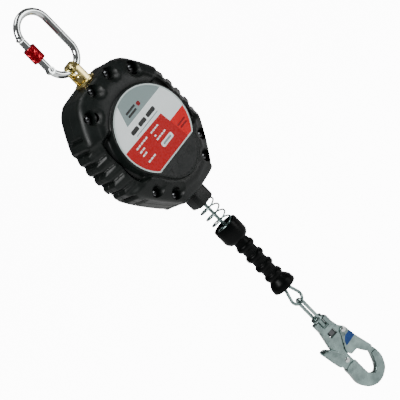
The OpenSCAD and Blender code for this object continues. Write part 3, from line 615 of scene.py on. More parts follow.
def case_rings(count, inset, front):
    """Rings of the housing's half from the seam to the front; inset moves them inwards."""
    s = bpy.context.scene.lifeline_sizes
    rib_h, pitch = s.rib_height / MM, s.rib_pitch / MM
    band = polar(band_outline(), CASE_CENTRE, count)
    rim = polar(rim_outline(), CASE_CENTRE, count)
    angles = [TAU * k / count for k in range(count)]

    def direction(k, r):
        return math.sin(angles[k]) * r, DRUM_Z + math.cos(angles[k]) * r

    def shoulder(k):
        c, d = math.sin(angles[k]), math.cos(angles[k])
        return band[k] * (SHOULDER[0] * abs(c) + SHOULDER[1] * abs(d)) / (abs(c) + abs(d))

    def belt(z, half=34.0):
        """1 beside the label, where the ribbed belt runs, and 0 above and below it."""
        return 1 - ease((abs(z + 215) - half) / 8)

    def crest(k, b):
        """Depth at the shoulder, deeper where the shoulder is close to the label's rim."""
        near = 1 - min(max((shoulder(k) - rim[k]) / 20, 0), 1)
        return 31.4 + 4.8 * near * (1 - b)

    rings = []

    def ring(place):
        points = []
        for k in range(count):
            r, y = place(k)
            x, z = direction(k, r)
            points.append(Vector((x, y, z)))
        rings.append(points)

    def ribbed(k, r, share, half=58.0):
        if inset:
            return r - inset
        z = direction(k, r)[1]
        b = belt(z, half)
        return r + share * b * rib_h * (rib_wave(z, pitch) - 0.62) + (1 - b) * 0.3

    ring(lambda k: (ribbed(k, band[k], 1.0) - (0 if inset else 0.7), 0.0))
    ring(lambda k: (ribbed(k, band[k], 1.0) - (0 if inset else 0.7), -0.35))
    for y in (-0.8, -3, -6, -9, -12, -14):
        ring(lambda k, y=y: (ribbed(k, band[k], 1.0), y + (0.4 * inset if y < -12 else 0)))
    for t in (0.06, 0.16, 0.3, 0.45, 0.6, 0.75, 0.87):
        def chamfer(k, t=t):
            r = band[k] + (shoulder(k) - band[k]) * t
            b = belt(direction(k, r)[1])
            bulge = math.sin(math.pi * t) * (4.2 * (1 - b) + 0.5 * b)
            y = -BAND_Y - (crest(k, b) - BAND_Y) * t + 0.4 * inset
            share, half = 0.75 - 0.25 * t, 58 - 22 * min(t * 4, 1)
            return ribbed(k, r, share, half) + bulge * 0.75 + 1.2 * (1 - b) * min(t * 4, 1), \
                y - bulge * 0.6
        ring(chamfer)
    rim_gap = 4.2 if inset else 1.6
    for t in (0.12, 0.22, 0.32, 0.44, 0.57, 0.7, 0.82, 0.92, 1.0):
        def slope(k, t=t):
            start, end = shoulder(k) - inset, rim[k] + rim_gap - 2 * inset
            r = start + (end - start) * t
            b = belt(direction(k, r)[1])
            wide = min(max((start - end) / 20, 0), 1)
            swell = math.sin(math.pi * t) * 1.6 * wide
            low = -crest(k, b) - (38 - crest(k, b)) * (1 - (1 - t) ** 2) - swell
            side = -31.6 + 5.5 * math.sin(math.pi * min(t * 0.8, 1))
            return r, (low * (1 - b) + side * b) + inset * 0.95
        ring(slope)
    if inset:
        ring(lambda k: (rim[k] - 5, -front + inset))
        return rings
    for drop, y, b_y in ((1.0, -38.6, -30.4), (0.5, -39.6, -34.5), (0.1, -40.6, -38.6),
                         (0.1, -41.6, -41.2), (-0.4, -42.2, -42.1), (-1.2, -42.5, -42.5),
                         (-1.9, -42.3, -42.3), (-2.1, -41.9, -41.9), (-2.2, -front, -front)):
        def lip(k, drop=drop, y=y, b_y=b_y):
            r = rim[k] + drop
            b = belt(direction(k, r)[1])
            return r, y * (1 - b) + b_y * b
        ring(lip)
    return rings


def nozzle_ring(width, corner, z, count=64):
    """A rounded square round the rope's line."""
    half = width / 2 - corner
    points = []
    for k in range(count):
        a = TAU * (k + 0.5) / count
        c, d = math.cos(a), math.sin(a)
        points.append(Vector((math.copysign(half, c) + corner * c,
                              math.copysign(half, d) + corner * d, z)))
    return points


def half_case(front_half):
    """One half of the housing, hollow, with its screw wells and openings."""
    s = bpy.context.scene.lifeline_sizes

    def pocket_at(z):
        """Radius of a screw pocket; the lower ones sit closer to the edge."""
        return s.pocket_radius / MM - (0 if z > DRUM_Z else 1.5)

    outer = bmesh.new()
    closed_skin(outer, case_rings(720, 0, FRONT_Y))
    shell = loose(outer)
    inner = bmesh.new()
    rings = case_rings(120, 3.4, FRONT_Y)
    closed_skin(inner, [[Vector((p.x, 1.0, p.z)) for p in rings[0]]] + rings[2:])
    cavity = loose(inner)
    wells = bmesh.new()
    for x, z in SCREWS:
        for side in (-1, 1):
            r = pocket_at(z) + 2 if front_half else 4.6
            lathe(wells, [(0, 50), (r, 50), (r, 17 if front_half else -2),
                          (4.6, 15 if front_half else -2), (4.6, -2), (0, -2)], 32,
                  along_y(side * x, z))
    carve(cavity, loose(wells))
    carve(shell, cavity)
    cuts = bmesh.new()
    if front_half:
        for x, z in SCREWS:
            pocket = pocket_at(z)
            for side in (-1, 1):
                lathe(cuts, [(0, 20), (pocket - 0.4, 20), (pocket, 20.6), (pocket, 25),
                             (pocket + 0.6, 27), (pocket + 1.6, 29.5), (pocket + 3.4, 32.5),
                             (pocket + 6.4, 36), (pocket + 11.5, 40), (pocket + 17, 46), (0, 46)],
                      48, along_y(side * x, z))
    for x, z in SCREWS:
        for side in (-1, 1):
            lathe(cuts, [(0, -1), (2.35, -1), (2.35, 22), (0, 22)] if front_half
                  else [(0, -1), (2.35, -1), (2.35, 20.2), (0, 20.2)], 24,
                  along_y(side * x, z))
    carve(shell, loose(cuts))
    gates = bmesh.new()
    lathe(gates, [(0, -132), (9.5, -132), (9.5, -105), (0, -105)], 48)
    closed_skin(gates, [nozzle_ring(29.8, 7, z) for z in (-329, -313.5)])
    carve(shell, loose(gates))
    return as_bmesh(shell)


class LIFELINE_OT_housing(bpy.types.Operator):
    """Build both halves of the ribbed housing and its screws"""

    bl_idname = "lifeline.housing"
    bl_label = "Build Housing"

    def execute(self, context):
        f = finishes()
        front = half_case(True)
        add_piece("front_shell", front, f["housing"], "housing",
                  ["front_cover"], sharp=42)
        rear = half_case(False)
        rear.transform(Matrix.Scale(-1, 4, (0, 1, 0)))
        bmesh.ops.reverse_faces(rear, faces=rear.faces)
        add_piece("rear_shell", rear, f["housing"], "housing",
                  ["rear_cover"], sharp=42)
        screws = bmesh.new()
        for x, z in SCREWS:
            for side in (-1, 1):
                # a socket head: rounded top edge and a round recess
                lathe(screws, [(0, -20), (2.2, -20), (2.2, 20), (4.2, 20), (4.0, 22),
                               (3.2, 22.9), (1.7, 23.2), (1.5, 21.8), (0, 21.8)], 24,
                      along_y(side * x, z))
        add_piece("socket_screws", screws, f["screw"], "housing",
                  ["cover_screws"])
        return {"FINISHED"}


# ---------------------------------------------------------------- label


def label_disc(bm, radius, y, cut):
    """A flat disc with a straight bottom edge, facing the front."""
    steps = 160
    start = math.asin(-cut / radius)
    angles = [start + (math.pi - 2 * start) * i / steps for i in range(steps + 1)]
    verts = [bm.verts.new((radius * math.cos(a), y, LABEL_Z + radius * math.sin(a)))
             for a in angles]
    return bm.faces.new(verts)


LABEL_LINES = [
    # point on the line and its normal, both as (x, z) from the label's centre
    ((0, 28), (0, 1)), ((-27, 29), (19, -7)), ((0, 5.5), (0.03, 1)), ((25, -3.5), (15, 2)),
    ((0, -11.5), (0, 1)),
]


def label_zone(x, z):
    """Which field of the label a place belongs to: 0 white, 1 grey, 2 red, 3 darker red."""
    if z > 28 and 19 * (x + 27) - 7 * (z - 29) > 0:
        return 1
    if 15 * (x - 25) + 2 * (z + 3.5) < 0:
        return 2 if z + 0.03 * x < 5.5 else 0
    return 3 if z < -11.5 else 0


class LIFELINE_OT_label(bpy.types.Operator):
    """Build the round label with plain fields, bars and dashes"""

    bl_idname = "lifeline.label"
    bl_label = "Build Label"

    def execute(self, context):
        f = finishes()
        bm = bmesh.new()
        label_disc(bm, LABEL_R, -42.3, LABEL_CUT)
        for (px, pz), (nx, nz) in LABEL_LINES:
            bmesh.ops.bisect_plane(
                bm, geom=bm.verts[:] + bm.edges[:] + bm.faces[:], dist=1e-5,
                plane_co=(px, 0, LABEL_Z + pz), plane_no=(nx, 0, nz),
            )
        for face in bm.faces:
            c = face.calc_center_median()
            face.material_index = label_zone(c.x, c.z - LABEL_Z)
        grown = bmesh.ops.extrude_face_region(bm, geom=bm.faces[:], use_keep_orig=True)["geom"]
        back = [g for g in grown if isinstance(g, bmesh.types.BMVert)]
        bmesh.ops.translate(bm, verts=back, vec=(0, 0.8, 0))
        add_piece("label_fields", bm, [f["white"], f["grey"], f["label_red"], f["label_dark"]],
                  "housing", ["label_plate"])

        rim = bmesh.new()
        loops = []
        for shrink, y in ((0, -42.0), (0, -42.6), (1.9, -42.6), (1.9, -42.0)):
            flat = bmesh.new()
            face = label_disc(flat, LABEL_R - shrink, y, LABEL_CUT - shrink)
            loops.append([v.co.copy() for v in face.verts])
            flat.free()
        first, last = skin(rim, loops)
        bmesh.ops.bridge_loops(rim, edges=first + last)
        add_piece("label_border", rim, f["grey_rim"], "housing")

        marks = bmesh.new()
        white = [(-29, -0.7, 26), (-36, -7.2, 12), (-37, -13, 10), (-33.5, -23.8, 17),
                 (0, -1.7, 18), (-6, -8.5, 4), (1, -13.8, 21)]
        for x, z, width in white:
            pieces = max(1, round(width / 5))
            step = width / pieces
            for i in range(pieces):
                bar(marks, x - width / 2 + step * (i + 0.5), z, step * 0.82, 2.2)
        bar(marks, 3, -24.3, 24, 7.6)
        add_piece("label_dashes", marks, f["white"], "housing")

        dark = bmesh.new()
        for x, width in ((-23, 15), (-5.5, 15), (14, 18)):
            bar(dark, x, 17, width, 6.2)
        for x, z, width in ((-6, 39.5, 20), (-7, 34.5, 18)):
            bar(dark, x, z, width, 3.2)
        add_piece("label_bars", dark, f["print"], "housing")

        lines = bmesh.new()
        bar(lines, -2, 10.2, 50, 1.2)
        bar(lines, 3, -24.3, 17, 3.0, rise=0.06)
        add_piece("label_lines", lines, f["grey"], "housing")

        accents = bmesh.new()
        bar(accents, 9.5, 37, 6, 6)
        bar(accents, 38, -24, 17, 2.4)
        bar(accents, 38, -29, 14, 2.4)
        add_piece("label_accents", accents, f["label_deep"], "housing")

        ridge = bmesh.new()
        for x, width in ((-19, 12), (0, 20), (19, 12)):
            bar(ridge, x, -57, width, 7, y=-41.5, rise=0.5)
        add_piece("lip_pads", ridge, f["housing"], "housing")
        return {"FINISHED"}


def bar(bm, x, z, width, height, y=-42.3, rise=0.03):
    """A thin rounded bar lying on the label, by its middle."""
    made = bmesh.ops.create_cube(bm, size=1.0)["verts"]
    bmesh.ops.scale(bm, vec=(width, rise + 0.3, height), verts=made)
    bmesh.ops.translate(bm, verts=made, vec=(x, y - rise / 2 + 0.15, LABEL_Z + z))
    upright = [
        e for e in {e for v in made for e in v.link_edges}
        if abs(e.verts[0].co.y - e.verts[1].co.y) > 0.1
    ]
    bmesh.ops.bevel(bm, geom=upright, offset=min(width, height) * 0.3, offset_type="OFFSET",
                    segments=4, profile=0.5, affect="EDGES", material=-1)


# ---------------------------------------------------------------- carabiner

GATE_X = -25.5
PIN_Z = -71.0
SLEEVE_TOP = -29.5
SLEEVE_H = 22.5


class LIFELINE_OT_carabiner(bpy.types.Operator):
    """Build the knurled screw sleeve and the collars of the carabiner"""

    bl_idname = "lifeline.carabiner"
    bl_label = "Build Carabiner Details"

    def execute(self, context):
        f = finishes()
        s = context.scene.lifeline_sizes
        depth = s.knurl_depth / MM
        count, outer_r, inner_r, seat_r = 128, 9.0, 5.8, 6.4
        low = SLEEVE_TOP - SLEEVE_H
        rings = []

        def ring(z, r, cut=0.0):
            points = []
            for k in range(count):
                a = TAU * k / count
                wave_a = abs(math.sin(a * 4 + (z - low) * math.pi / 8.6))
                wave_b = abs(math.sin(a * 4 - (z - low) * math.pi / 8.6))
                groove = 1 - min(wave_a, wave_b) * 1.9
                rr = r - cut * min(max(groove, 0), 1)
                points.append(Vector((GATE_X + rr * math.cos(a), rr * math.sin(a), z)))
            rings.append(points)

        ring(SLEEVE_TOP, inner_r)
        ring(SLEEVE_TOP, outer_r - 1.0)
        ring(SLEEVE_TOP - 0.5, outer_r - 0.3)
        ring(SLEEVE_TOP - 1.4, outer_r)
        steps = 56
        for i in range(steps + 1):
            z = SLEEVE_TOP - 2 - (SLEEVE_H - 4) * i / steps
            ring(z, outer_r, depth * 1.5)
        ring(low + 1.4, outer_r)
        ring(low + 0.5, outer_r - 0.3)
        ring(low, outer_r - 1.0)
        ring(low, seat_r)
        ring(low + 8, seat_r)
        ring(low + 8, inner_r)
        bm = bmesh.new()
        first, last = skin(bm, rings)
        bmesh.ops.bridge_loops(bm, edges=first + last)
        add_piece("knurled_sleeve", bm, f["red"], "sleeve",
                  ["carabiner_sleeve"], sharp=50)

        # a collar on the nose and a lug over the hinge, like upset ends of the bar
        collars = bmesh.new()
        lathe(collars, [(5.02, -15.2), (5.6, -15.0), (6.0, -14.3), (5.9, -13.2), (5.02, -11.8)],
              48, Matrix.Translation((GATE_X + 0.2, 0, 0)), closed=True)
        add_piece("nose_collar", collars, f["chrome"], "carabiner")
        pin = bmesh.new()
        for side in (-1, 1):
            lathe(pin, [(0, 4.7), (2.6, 4.7), (2.9, 5.0), (2.6, 5.5), (1.6, 5.9), (0, 6.0)], 24,
                  along_y(GATE_X, PIN_Z) @ Matrix.Scale(side, 4, (0, 0, 1)))
        add_piece("hinge_rivets", pin, f["steel"], "carabiner")
        return {"FINISHED"}


# ---------------------------------------------------------------- swivel


class LIFELINE_OT_swivel(bpy.types.Operator):
    """Build the swivel bail and its domed bolt"""

    bl_idname = "lifeline.swivel"
    bl_label = "Build Swivel"

    def execute(self, context):
        f = finishes()
        arch, out_r, in_r, half = -95.4, 13.5, 8.5, 5.25
        steps = 24
        outer = [(out_r * math.cos(math.pi * i / steps), arch + out_r * math.sin(math.pi * i / steps))
                 for i in range(steps + 1)]
        inner = [(in_r * math.cos(math.pi * i / steps), arch + in_r * math.sin(math.pi * i / steps))
                 for i in range(steps, -1, -1)]
        outline = [(out_r, -115)] + outer + [(-out_r, -115), (-in_r, -115)] + inner + [(in_r, -115)]
        bm = bmesh.new()
        slab(bm, outline, -half, half, 1.3, 3)
        bmesh.ops.rotate(bm, cent=(0, 0, 0), matrix=Matrix.Rotation(math.radians(90), 3, "Z"),
                         verts=bm.verts)
        lathe(bm, [(4.05, -117), (14.6, -117), (15.3, -116.6), (15.5, -115.8), (15.5, -114.2),
                   (15.3, -113.5), (14.6, -113), (4.05, -113)], 80, closed=True)
        add_piece("swivel_loop", bm, f["gold"], "swivel", ["swivel_bail"])
        bolt = bmesh.new()
        lathe(bolt, [(0, -152), (3.4, -152), (4, -151.3), (4, -112.8), (6.2, -112.8),
                     (6.5, -112.4), (6.5, -105.9), (6.2, -104.2), (5.3, -102.6), (3.9, -101.4),
                     (2.2, -100.9), (0, -100.8)], 48)
        add_piece("domed_bolt", bolt, f["gold"], "housing", ["swivel_bolt"])
        return {"FINISHED"}


# ---------------------------------------------------------------- rope and handle


class LIFELINE_OT_rope(bpy.types.Operator):
    """Build the stranded wire rope, its eye and the bumper spring"""

    bl_idname = "lifeline.rope"
    bl_label = "Build Rope and Spring"

    def execute(self, context):
        f = finishes()
        s = context.scene.lifeline_sizes
        radius, lay = s.rope_diameter / 2 / MM, s.rope_lay / MM
        run = bmesh.new()
        top, low = -275.0, -486.0
        steps = 150
        path = [Vector((0, 0, top + (low - top) * i / steps)) for i in range(steps + 1)]
        stranded(run, path, radius, lay)
        add_piece("stranded_rope", run, f["rope"], "handle", ["rope_run"], sharp=60)

        eye_r, lean, centre, leg = 9.6, math.radians(18), -533.0, 23.6
        side = Vector((eye_r * math.cos(lean), 0, centre + eye_r * math.sin(lean)))
        ahead = Vector((-math.sin(lean), 0, math.cos(lean)))
        down = [side + ahead * leg * (1 - i / 16) for i in range(16)]
        loop = []
        turns = 40
        for i in range(turns + 1):
            a = lean - (math.pi + 2 * lean) * i / turns
            loop.append(Vector((eye_r * math.cos(a), 0, centre + eye_r * math.sin(a))))
        up = [Vector((-p.x, 0, p.z)) for p in reversed(down)]
        eye = bmesh.new()
        stranded(eye, down + loop + up, radius, lay)
        add_piece("stranded_eye", eye, f["rope"], "handle", ["rope_eye"], sharp=60)

        wire = s.spring_wire / 2 / MM
        mean, pitch, turns_up, start = 14.5 - wire, 11.6, 4, -394.7
        per = 40
        coil = [
            Vector((mean * math.cos(TAU * i / per), mean * math.sin(TAU * i / per),
                    start + pitch * i / per))
            for i in range(per * turns_up + 1)
        ]
        spring = bmesh.new()
        tube(spring, coil, wire, 16)
        add_piece("round_spring", spring, f["zinc"], "handle",
                  ["bumper_spring"], sharp=50)
        return {"FINISHED"}


class LIFELINE_OT_handle(bpy.types.Operator):
    """Build the bumper cup, its washer and the ribbed grip"""

    bl_idname = "lifeline.handle"
    bl_label = "Build Handle"

    def execute(self, context):
        f = finishes()
        s = context.scene.lifeline_sizes
        cup = bmesh.new()
        lathe(cup, [(2.45, -412), (2.45, -416), (10.8, -416), (13.6, -415.9), (15, -415.3),
                    (17.4, -411.9), (18.2, -410.2), (18.5, -408.4), (18.5, -388.6), (18.2, -387.5), (17.4, -387),
                    (16.4, -387.2), (16.05, -388), (16.05, -403), (15.6, -407), (14, -410),
                    (11, -412)], 96, closed=True)
        add_piece("bumper_cup_shell", cup, f["cup"], "handle", ["bumper_cup"])
        washer = bmesh.new()
        lathe(washer, [(5, -397.6), (15.9, -397.6), (16, -397.3), (16, -396.3), (15.8, -396),
                       (5, -396)], 64, closed=True)
        add_piece("bumper_washer", washer, f["zinc"], "handle", ["cup_washer"])

        depth = s.grip_rib_depth / MM
        count = 144
        rings = []

        def ring(z, r, cut=0.0):
            points = []
            for k in range(count):
                a = TAU * k / count
                rr = r - cut * (0.5 + 0.5 * math.cos(24 * a)) ** 2
                points.append(Vector((rr * math.cos(a), rr * math.sin(a), z)))
            rings.append(points)

        ring(-416, 2.45)
        ring(-416, 10.5)
        beads = [-429, -448, -467, -486]
        ring(-419, 10.5)
        for z in beads:
            for i in range(13):
                a = math.radians(78 - 156 * i / 12)
                ring(z + 4.4 * math.sin(a), 10.9 + 2.75 * math.cos(a) ** 0.8)
            if z != beads[-1]:
                for h in (5.2, 6.2, 9.5, 12.8, 13.8):
                    ring(z - h, 10.5, depth if 6 < h < 13 else 0)
        for z, r in ((-491, 11.5), (-492.6, 12.1), (-495, 13.7), (-498, 15.8), (-501, 17.3),
                     (-504, 17.6), (-506.6, 18), (-508.4, 18), (-509.5, 17.6), (-510, 16.8),
                     (-510, 15.6), (-508.6, 13.9), (-504, 10.6), (-501, 7.4), (-500, 7.05),
                     (-482, 7.05), (-482, 2.45)):
            ring(z, r)
        grip = bmesh.new()
        first, last = skin(grip, rings)
        bmesh.ops.bridge_loops(grip, edges=first + last)
        add_piece("ribbed_grip", grip, f["rubber"], "handle", ["grip"], sharp=50)
        return {"FINISHED"}


class LIFELINE_OT_nozzle(bpy.types.Operator):
    """Build the square rope nozzle under the housing"""

    bl_idname = "lifeline.nozzle"
    bl_label = "Build Nozzle"

    def execute(self, context):
        f = finishes()
        bore = 9.0
        profile = [
            (28.6, -311.5), (29, -312), (29, -341.5), (28.4, -343.6), (26.8, -344.8), (24, -345),
        ]
        rings = [nozzle_ring(w, 7 - (29 - w) * 0.2, z) for w, z in profile]
        round_in = [
            [Vector((bore * math.cos(TAU * (k + 0.5) / 64), bore * math.sin(TAU * (k + 0.5) / 64), z))
             for k in range(64)]
            for z in (-345, -313)
        ]
        bm = bmesh.new()
        first, last = skin(bm, rings + round_in)
        bmesh.ops.bridge_loops(bm, edges=first + last)
        add_piece("square_nozzle", bm, f["housing"], "housing", ["nozzle"])
        return {"FINISHED"}


# ---------------------------------------------------------------- snap hook

GATE_AT = (14.5, -612.6)
LEVER_AT = (-12.2, -646.2)
HOOK_UPPER = [
    (-11.5, -590), (11.5, -590), (14, -603), (19.5, -611), (20.5, -620), (17, -626), (4, -629),
    (-4, -640), (-4, -662), (-20, -662), (-19, -640), (-17, -617), (-14, -603),
]
HOOK_LOWER = [
    (-4, -655), (-2.6, -664), (-2.4, -677), (-1.4, -684.5), (3, -689.2), (8, -689.2),
    (13.3, -683.2), (18, -672.6), (20.6, -664), (21.5, -657.5), (24.5, -657.5), (27.2, -662),
    (29, -668), (29, -680.3), (25.3, -690), (20.7, -697), (12.2, -702.6), (4, -705),
    (-5, -704.2), (-14.5, -698.8), (-21, -690), (-23.6, -680.3), (-22.6, -667.8), (-21, -655),
]
GATE_SIDE = [
    (14.5, -608.4), (19.1, -611.4), (20.7, -625.6), (23.6, -639), (27.4, -655), (27.8, -660.5),
    (24.4, -663.5), (19, -662.2), (14.2, -655.4), (9.9, -647.2), (-0.7, -646.2), (-3.4, -641),
    (-2.6, -634), (6.5, -617), (9.6, -610),
]
GATE_WEB = [(19, -662.2), (14.2, -655.4), (9.9, -647.2), (11.3, -646.5), (15.5, -654.6),
            (20.2, -661.4)]
LEVER_SIDE = [
    (-30, -615.5), (-25, -614.3), (-20.5, -617.4), (-15, -625), (-10, -636.5), (-6.4, -643),
    (-6.4, -650), (-12.6, -652), (-22, -653.4), (-25.4, -643.8), (-28, -629.4),
]
LEVER_WEB = [
    (-30, -615.5), (-28.4, -615.3), (-26.4, -629.2), (-23.8, -643.6), (-20.6, -653.2),
    (-22, -653.4), (-25.4, -643.8), (-28, -629.4),
]


def softened(points):
    """An outline with eased corners, a little inside the given one."""
    loop = [Vector(p) for p in points]
    out = []
    for i, p in enumerate(loop):
        before, after = loop[i - 1], loop[(i + 1) % len(loop)]
        reach = min(1.6, (before - p).length * 0.35, (after - p).length * 0.35)
        a = p + (before - p).normalized() * reach
        b = p + (after - p).normalized() * reach
        for t in (0, 0.33, 0.67, 1):
            out.append(a.lerp(p, t).lerp(p.lerp(b, t), t))
    return out


def hook_space(bm):
    bm.transform(Matrix.Rotation(HOOK_TURN, 4, "Z"))
    return bm


def box_cutter(bm, low, high):
    made = bmesh.ops.create_cube(bm, size=1.0)["verts"]
    low, high = Vector(low), Vector(high)
    bmesh.ops.scale(bm, vec=high - low, verts=made)
    bmesh.ops.translate(bm, vec=(low + high) / 2, verts=made)


class LIFELINE_OT_hook(bpy.types.Operator):
    """Build the snap hook: forged body, sheet gate, lock lever and rivets"""

    bl_idname = "lifeline.hook"
    bl_label = "Build Snap Hook"

    def execute(self, context):
        f = finishes()
        upper = bmesh.new()
        slab(upper, softened(HOOK_UPPER), -4.5, 4.5, 0.8, 3)
        body = loose(upper)
        lower = bmesh.new()
        slab(lower, flowing(HOOK_LOWER, per=4), -6, 6, 2.9, 5)
        carve(body, loose(lower), "UNION")
        for side in (-1, 1):
            ear = bmesh.new()
            a, b = sorted((side * 4.7, side * 11.5))
            slab(ear, softened([(a, -579), (b, -579), (b, -597), (a, -597)]), -6, 6, 0.9, 3)
            carve(body, loose(ear), "UNION")
        block = bmesh.new()
        slab(block, softened([(-11.5, -592), (11.5, -592), (11.5, -600), (-11.5, -600)]),
             -6, 6, 0.9, 3)
        carve(body, loose(block), "UNION")
        cuts = bmesh.new()
        lathe(cuts, [(0, -609), (4.05, -609), (4.05, -570), (0, -570)], 40)
        carve(body, loose(cuts))
        cuts = bmesh.new()
        box_cutter(cuts, (-6, -12, -610), (6, 12, -599.7))
        for y in (-10.5, 4.5):
            box_cutter(cuts, (6, y, -668), (30, y + 6, -642))
        carve(body, loose(cuts))
        cuts = bmesh.new()
        for x, z in (GATE_AT, LEVER_AT):
            lathe(cuts, [(0, -12), (2.5, -12), (2.5, -2.2), (4.9, -2.2), (4.9, 2.2), (2.5, 2.2),
                         (2.5, 12), (0, 12)], 40, along_y(x, z))
        carve(body, loose(cuts))
        add_piece("forged_hook", hook_space(as_bmesh(body)), f["forged"], "hook",
                  ["hook_body"], sharp=38)

        gate = bmesh.new()
        for y in (-6.4, 4.9):
            slab(gate, flowing(GATE_SIDE, per=4), y, y + 1.5, 0.4, 2)
        slab(gate, GATE_WEB, -6.2, 6.2)
        solid = loose(gate)
        cuts = bmesh.new()
        lathe(cuts, [(0, -12), (2.55, -12), (2.55, 12), (0, 12)], 32, along_y(*GATE_AT))
        carve(solid, loose(cuts))
        add_piece("sheet_gate", hook_space(as_bmesh(solid)), f["zinc"], "hook_gate",
                  ["hook_gate"], sharp=35)

        mark = bmesh.new()
        patch = [(10.2, -620.5), (20.3, -619.8), (21.6, -630), (9.5, -631.6), (1.5, -632.6),
                 (4.6, -625.8)]
        slab(mark, softened(patch), -6.46, -6.38)
        add_piece("gate_patch", hook_space(mark), f["blue"], "hook_gate")

        lever = bmesh.new()
        for y in (-8.3, 6.8):
            slab(lever, flowing(LEVER_SIDE, per=4), y, y + 1.5, 0.4, 2)
        slab(lever, LEVER_WEB, -8.1, 8.1)
        solid = loose(lever)
        cuts = bmesh.new()
        lathe(cuts, [(0, -12), (2.55, -12), (2.55, 12), (0, 12)], 32, along_y(*LEVER_AT))
        carve(solid, loose(cuts))
        add_piece("channel_lever", hook_space(as_bmesh(solid)), f["zinc"], "lock_lever",
                  ["lock_lever"], sharp=35)

        for name, node, (x, z), half in (("gate_pin", "gate_rivet", GATE_AT, 6.4),
                                         ("lever_pin", "lever_rivet", LEVER_AT, 8.3)):
            rivet = bmesh.new()
            lathe(rivet, [(0, -half - 1.6), (1.2, -half - 1.5), (2.6, -half - 1.3),
                          (3.6, -half - 0.8), (3.9, -half - 0.1), (2.5, -half - 0.1),
                          (2.5, half + 0.1), (3.9, half + 0.1), (3.6, half + 0.8),
                          (2.6, half + 1.3), (1.2, half + 1.5), (0, half + 1.6)],
                  40, along_y(x, z))
            add_piece(name, hook_space(rivet), f["steel"], "hook", [node])

        link = bmesh.new()
        legs = [Vector((0, 5.5, -577 + (577 - 542.6) * i / 12)) for i in range(12)]
        bend = [Vector((0, 5.5 * math.cos(math.pi * i / 20), -542.6 + 5.5 * math.sin(math.pi * i / 20)))
                for i in range(21)]
        path = legs + bend + [Vector((0, -p.y, p.z)) for p in reversed(legs)]
        tube(link, path, 2.5, 24)
        lathe(link, [(0, -578.4), (7.9, -578.4), (8.5, -577.8), (8.5, -573.8), (8.1, -573.2),
                     (7.4, -573), (0, -573)], 48)
        lathe(link, [(0, -608), (3.7, -608), (4, -607.6), (4, -577), (0, -577)], 32)
        add_piece("hook_loop", link, f["zinc"], "hook_link", ["hook_bail"])
        return {"FINISHED"}


# ---------------------------------------------------------------- parts kept from the frame

KEPT_FINISH = {
    "zinc_steel": "chrome", "bright_steel": "steel", "dark_steel": "dark", "frame_steel": "frame",
    "yellow_zinc": "gold", "bronze": "bronze", "red_anodised": "red",
    "housing_black": "housing", "label": "white", "drum_aluminium": "aluminium",
    "wire_rope": "rope", "ferrule": "aluminium", "friction_lining": "lining",
    "guide_nylon": "nylon", "cup_black": "cup", "grip_rubber": "rubber",
}


class LIFELINE_OT_kept(bpy.types.Operator):
    """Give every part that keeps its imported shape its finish"""

    bl_idname = "lifeline.kept"
    bl_label = "Finish Kept Parts"

    def execute(self, context):
        f = finishes()
        for part in frame["record"]["subparts"]:
            mesh = frame["nodes"][part["node"]].data
            mesh.materials.clear()
            mesh.materials.append(f[KEPT_FINISH[part["material_slot"]]])
        return {"FINISHED"}


# ---------------------------------------------------------------- stage


def area_light(name, place, target, size, power):
    lamp = bpy.data.lights.new(name, "AREA")
    lamp.shape = "RECTANGLE"
    lamp.size, lamp.size_y = size
    lamp.energy = power
    light = bpy.data.objects.new(name, lamp)
    light.location = place
    light.rotation_mode = "QUATERNION"
    light.rotation_quaternion = (Vector(target) - Vector(place)).to_track_quat("-Z", "Y")
    bpy.context.scene.collection.objects.link(light)


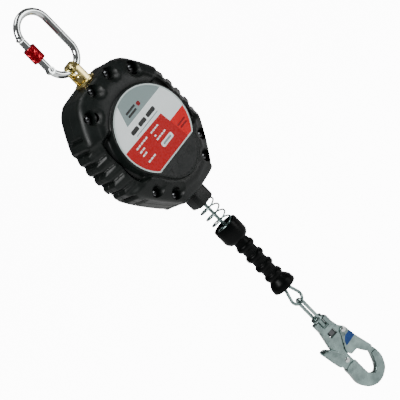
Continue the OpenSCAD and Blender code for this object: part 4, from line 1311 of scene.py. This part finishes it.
class LIFELINE_OT_stage(bpy.types.Operator):
    """Set up the pale floor, the soft light and the camera"""

    bl_idname = "lifeline.stage"
    bl_label = "Set Up Stage"

    def execute(self, context):
        scene = context.scene
        s, c = scene.lifeline_sizes, scene.lifeline_colours
        bm = bmesh.new()
        bmesh.ops.create_grid(bm, x_segments=1, y_segments=1, size=30.0,
                              matrix=Matrix.Translation((0, 0, -0.78)))
        mesh = bpy.data.meshes.new("floor")
        bm.to_mesh(mesh)
        bm.free()
        floor = bpy.data.objects.new("floor", mesh)
        scene.collection.objects.link(floor)
        ground = finish("Floor", c.backdrop, roughness=0.9, bump=0.0, tone=0.0, change=0.0)
        nodes, links = ground.node_tree.nodes, ground.node_tree.links
        seen = nodes.new("ShaderNodeLightPath")
        glow = nodes.new("ShaderNodeMath")
        glow.operation = "MULTIPLY"
        glow.inputs[1].default_value = s.floor_glow
        links.new(seen.outputs["Is Camera Ray"], glow.inputs[0])
        shader = nodes["Principled BSDF"]
        shader.inputs["Emission Color"].default_value = (1, 1, 1, 1)
        links.new(glow.outputs[0], shader.inputs["Emission Strength"])
        mesh.materials.append(ground)

        world = bpy.data.worlds.new("Studio")
        world.use_nodes = True
        scene.world = world
        sky = world.node_tree.nodes["Background"]
        sky.inputs["Color"].default_value = (1, 1, 1, 1)
        sky.inputs["Strength"].default_value = s.sky_strength

        azimuth, rise, roll = s.camera_turn, s.camera_rise, s.camera_roll
        back = Vector((math.sin(azimuth) * math.cos(rise), -math.cos(azimuth) * math.cos(rise),
                       math.sin(rise)))
        right = Vector((math.cos(azimuth), math.sin(azimuth), 0))
        up = back.cross(right)
        turned_right = right * math.cos(roll) - up * math.sin(roll)
        turned_up = back.cross(turned_right)
        aim = Vector((0, 0, -0.3466)) - turned_right * 0.0054 + turned_up * 0.0046
        camera = bpy.data.objects.new("camera", bpy.data.cameras.new("camera"))
        camera.data.sensor_width = 36
        camera.data.lens = 174.4
        camera.data.clip_end = 50
        axes = Matrix((turned_right, turned_up, back)).transposed()
        camera.matrix_world = Matrix.Translation(aim + back * s.camera_distance) @ axes.to_4x4()
        scene.collection.objects.link(camera)
        scene.camera = camera

        middle = (0, 0, -0.35)

        def lit(name, side, height, toward, size, power):
            place = Vector(middle) + right * side + UP * height + back * toward
            area_light(name, place, middle, size, power)

        lit("key", -1.0, 1.2, 1.4, (0.8, 0.8), 48)
        lit("fill", 1.7, -0.2, 0.9, (0.5, 1.8), 15)
        lit("top", 0.2, 2.0, 0.1, (1.2, 0.6), 16)
        lit("rim", 1.0, 0.7, -1.4, (0.4, 1.6), 3)
        return {"FINISHED"}


# ---------------------------------------------------------------- add-on


class LIFELINE_PT_panel(bpy.types.Panel):
    """Buttons and sizes of the lifeline"""

    bl_idname = "LIFELINE_PT_panel"
    bl_label = "Self Retracting Lifeline"
    bl_space_type = "VIEW_3D"
    bl_region_type = "UI"
    bl_category = "Lifeline"

    def draw(self, context):
        layout = self.layout
        for operator in BUILD_ORDER:
            layout.operator(operator.bl_idname)
        for group in (context.scene.lifeline_sizes, context.scene.lifeline_colours):
            column = layout.column(align=True)
            for name in group.__annotations__:
                column.prop(group, name)


BUILD_ORDER = [
    LIFELINE_OT_kept, LIFELINE_OT_housing, LIFELINE_OT_label, LIFELINE_OT_carabiner,
    LIFELINE_OT_swivel, LIFELINE_OT_rope, LIFELINE_OT_handle, LIFELINE_OT_nozzle,
    LIFELINE_OT_hook, LIFELINE_OT_stage,
]
CLASSES = [LifelineSizes, LifelineColours, *BUILD_ORDER, LIFELINE_PT_panel]


def register():
    for item in CLASSES:
        bpy.utils.register_class(item)
    bpy.types.Scene.lifeline_sizes = bpy.props.PointerProperty(type=LifelineSizes)
    bpy.types.Scene.lifeline_colours = bpy.props.PointerProperty(type=LifelineColours)


def unregister():
    del bpy.types.Scene.lifeline_colours
    del bpy.types.Scene.lifeline_sizes
    for item in reversed(CLASSES):
        bpy.utils.unregister_class(item)


def main():
    register()
    for operator in BUILD_ORDER:
        family, name = operator.bl_idname.split(".")
        getattr(getattr(bpy.ops, family), name)()


if __name__ == "__main__":
    main()
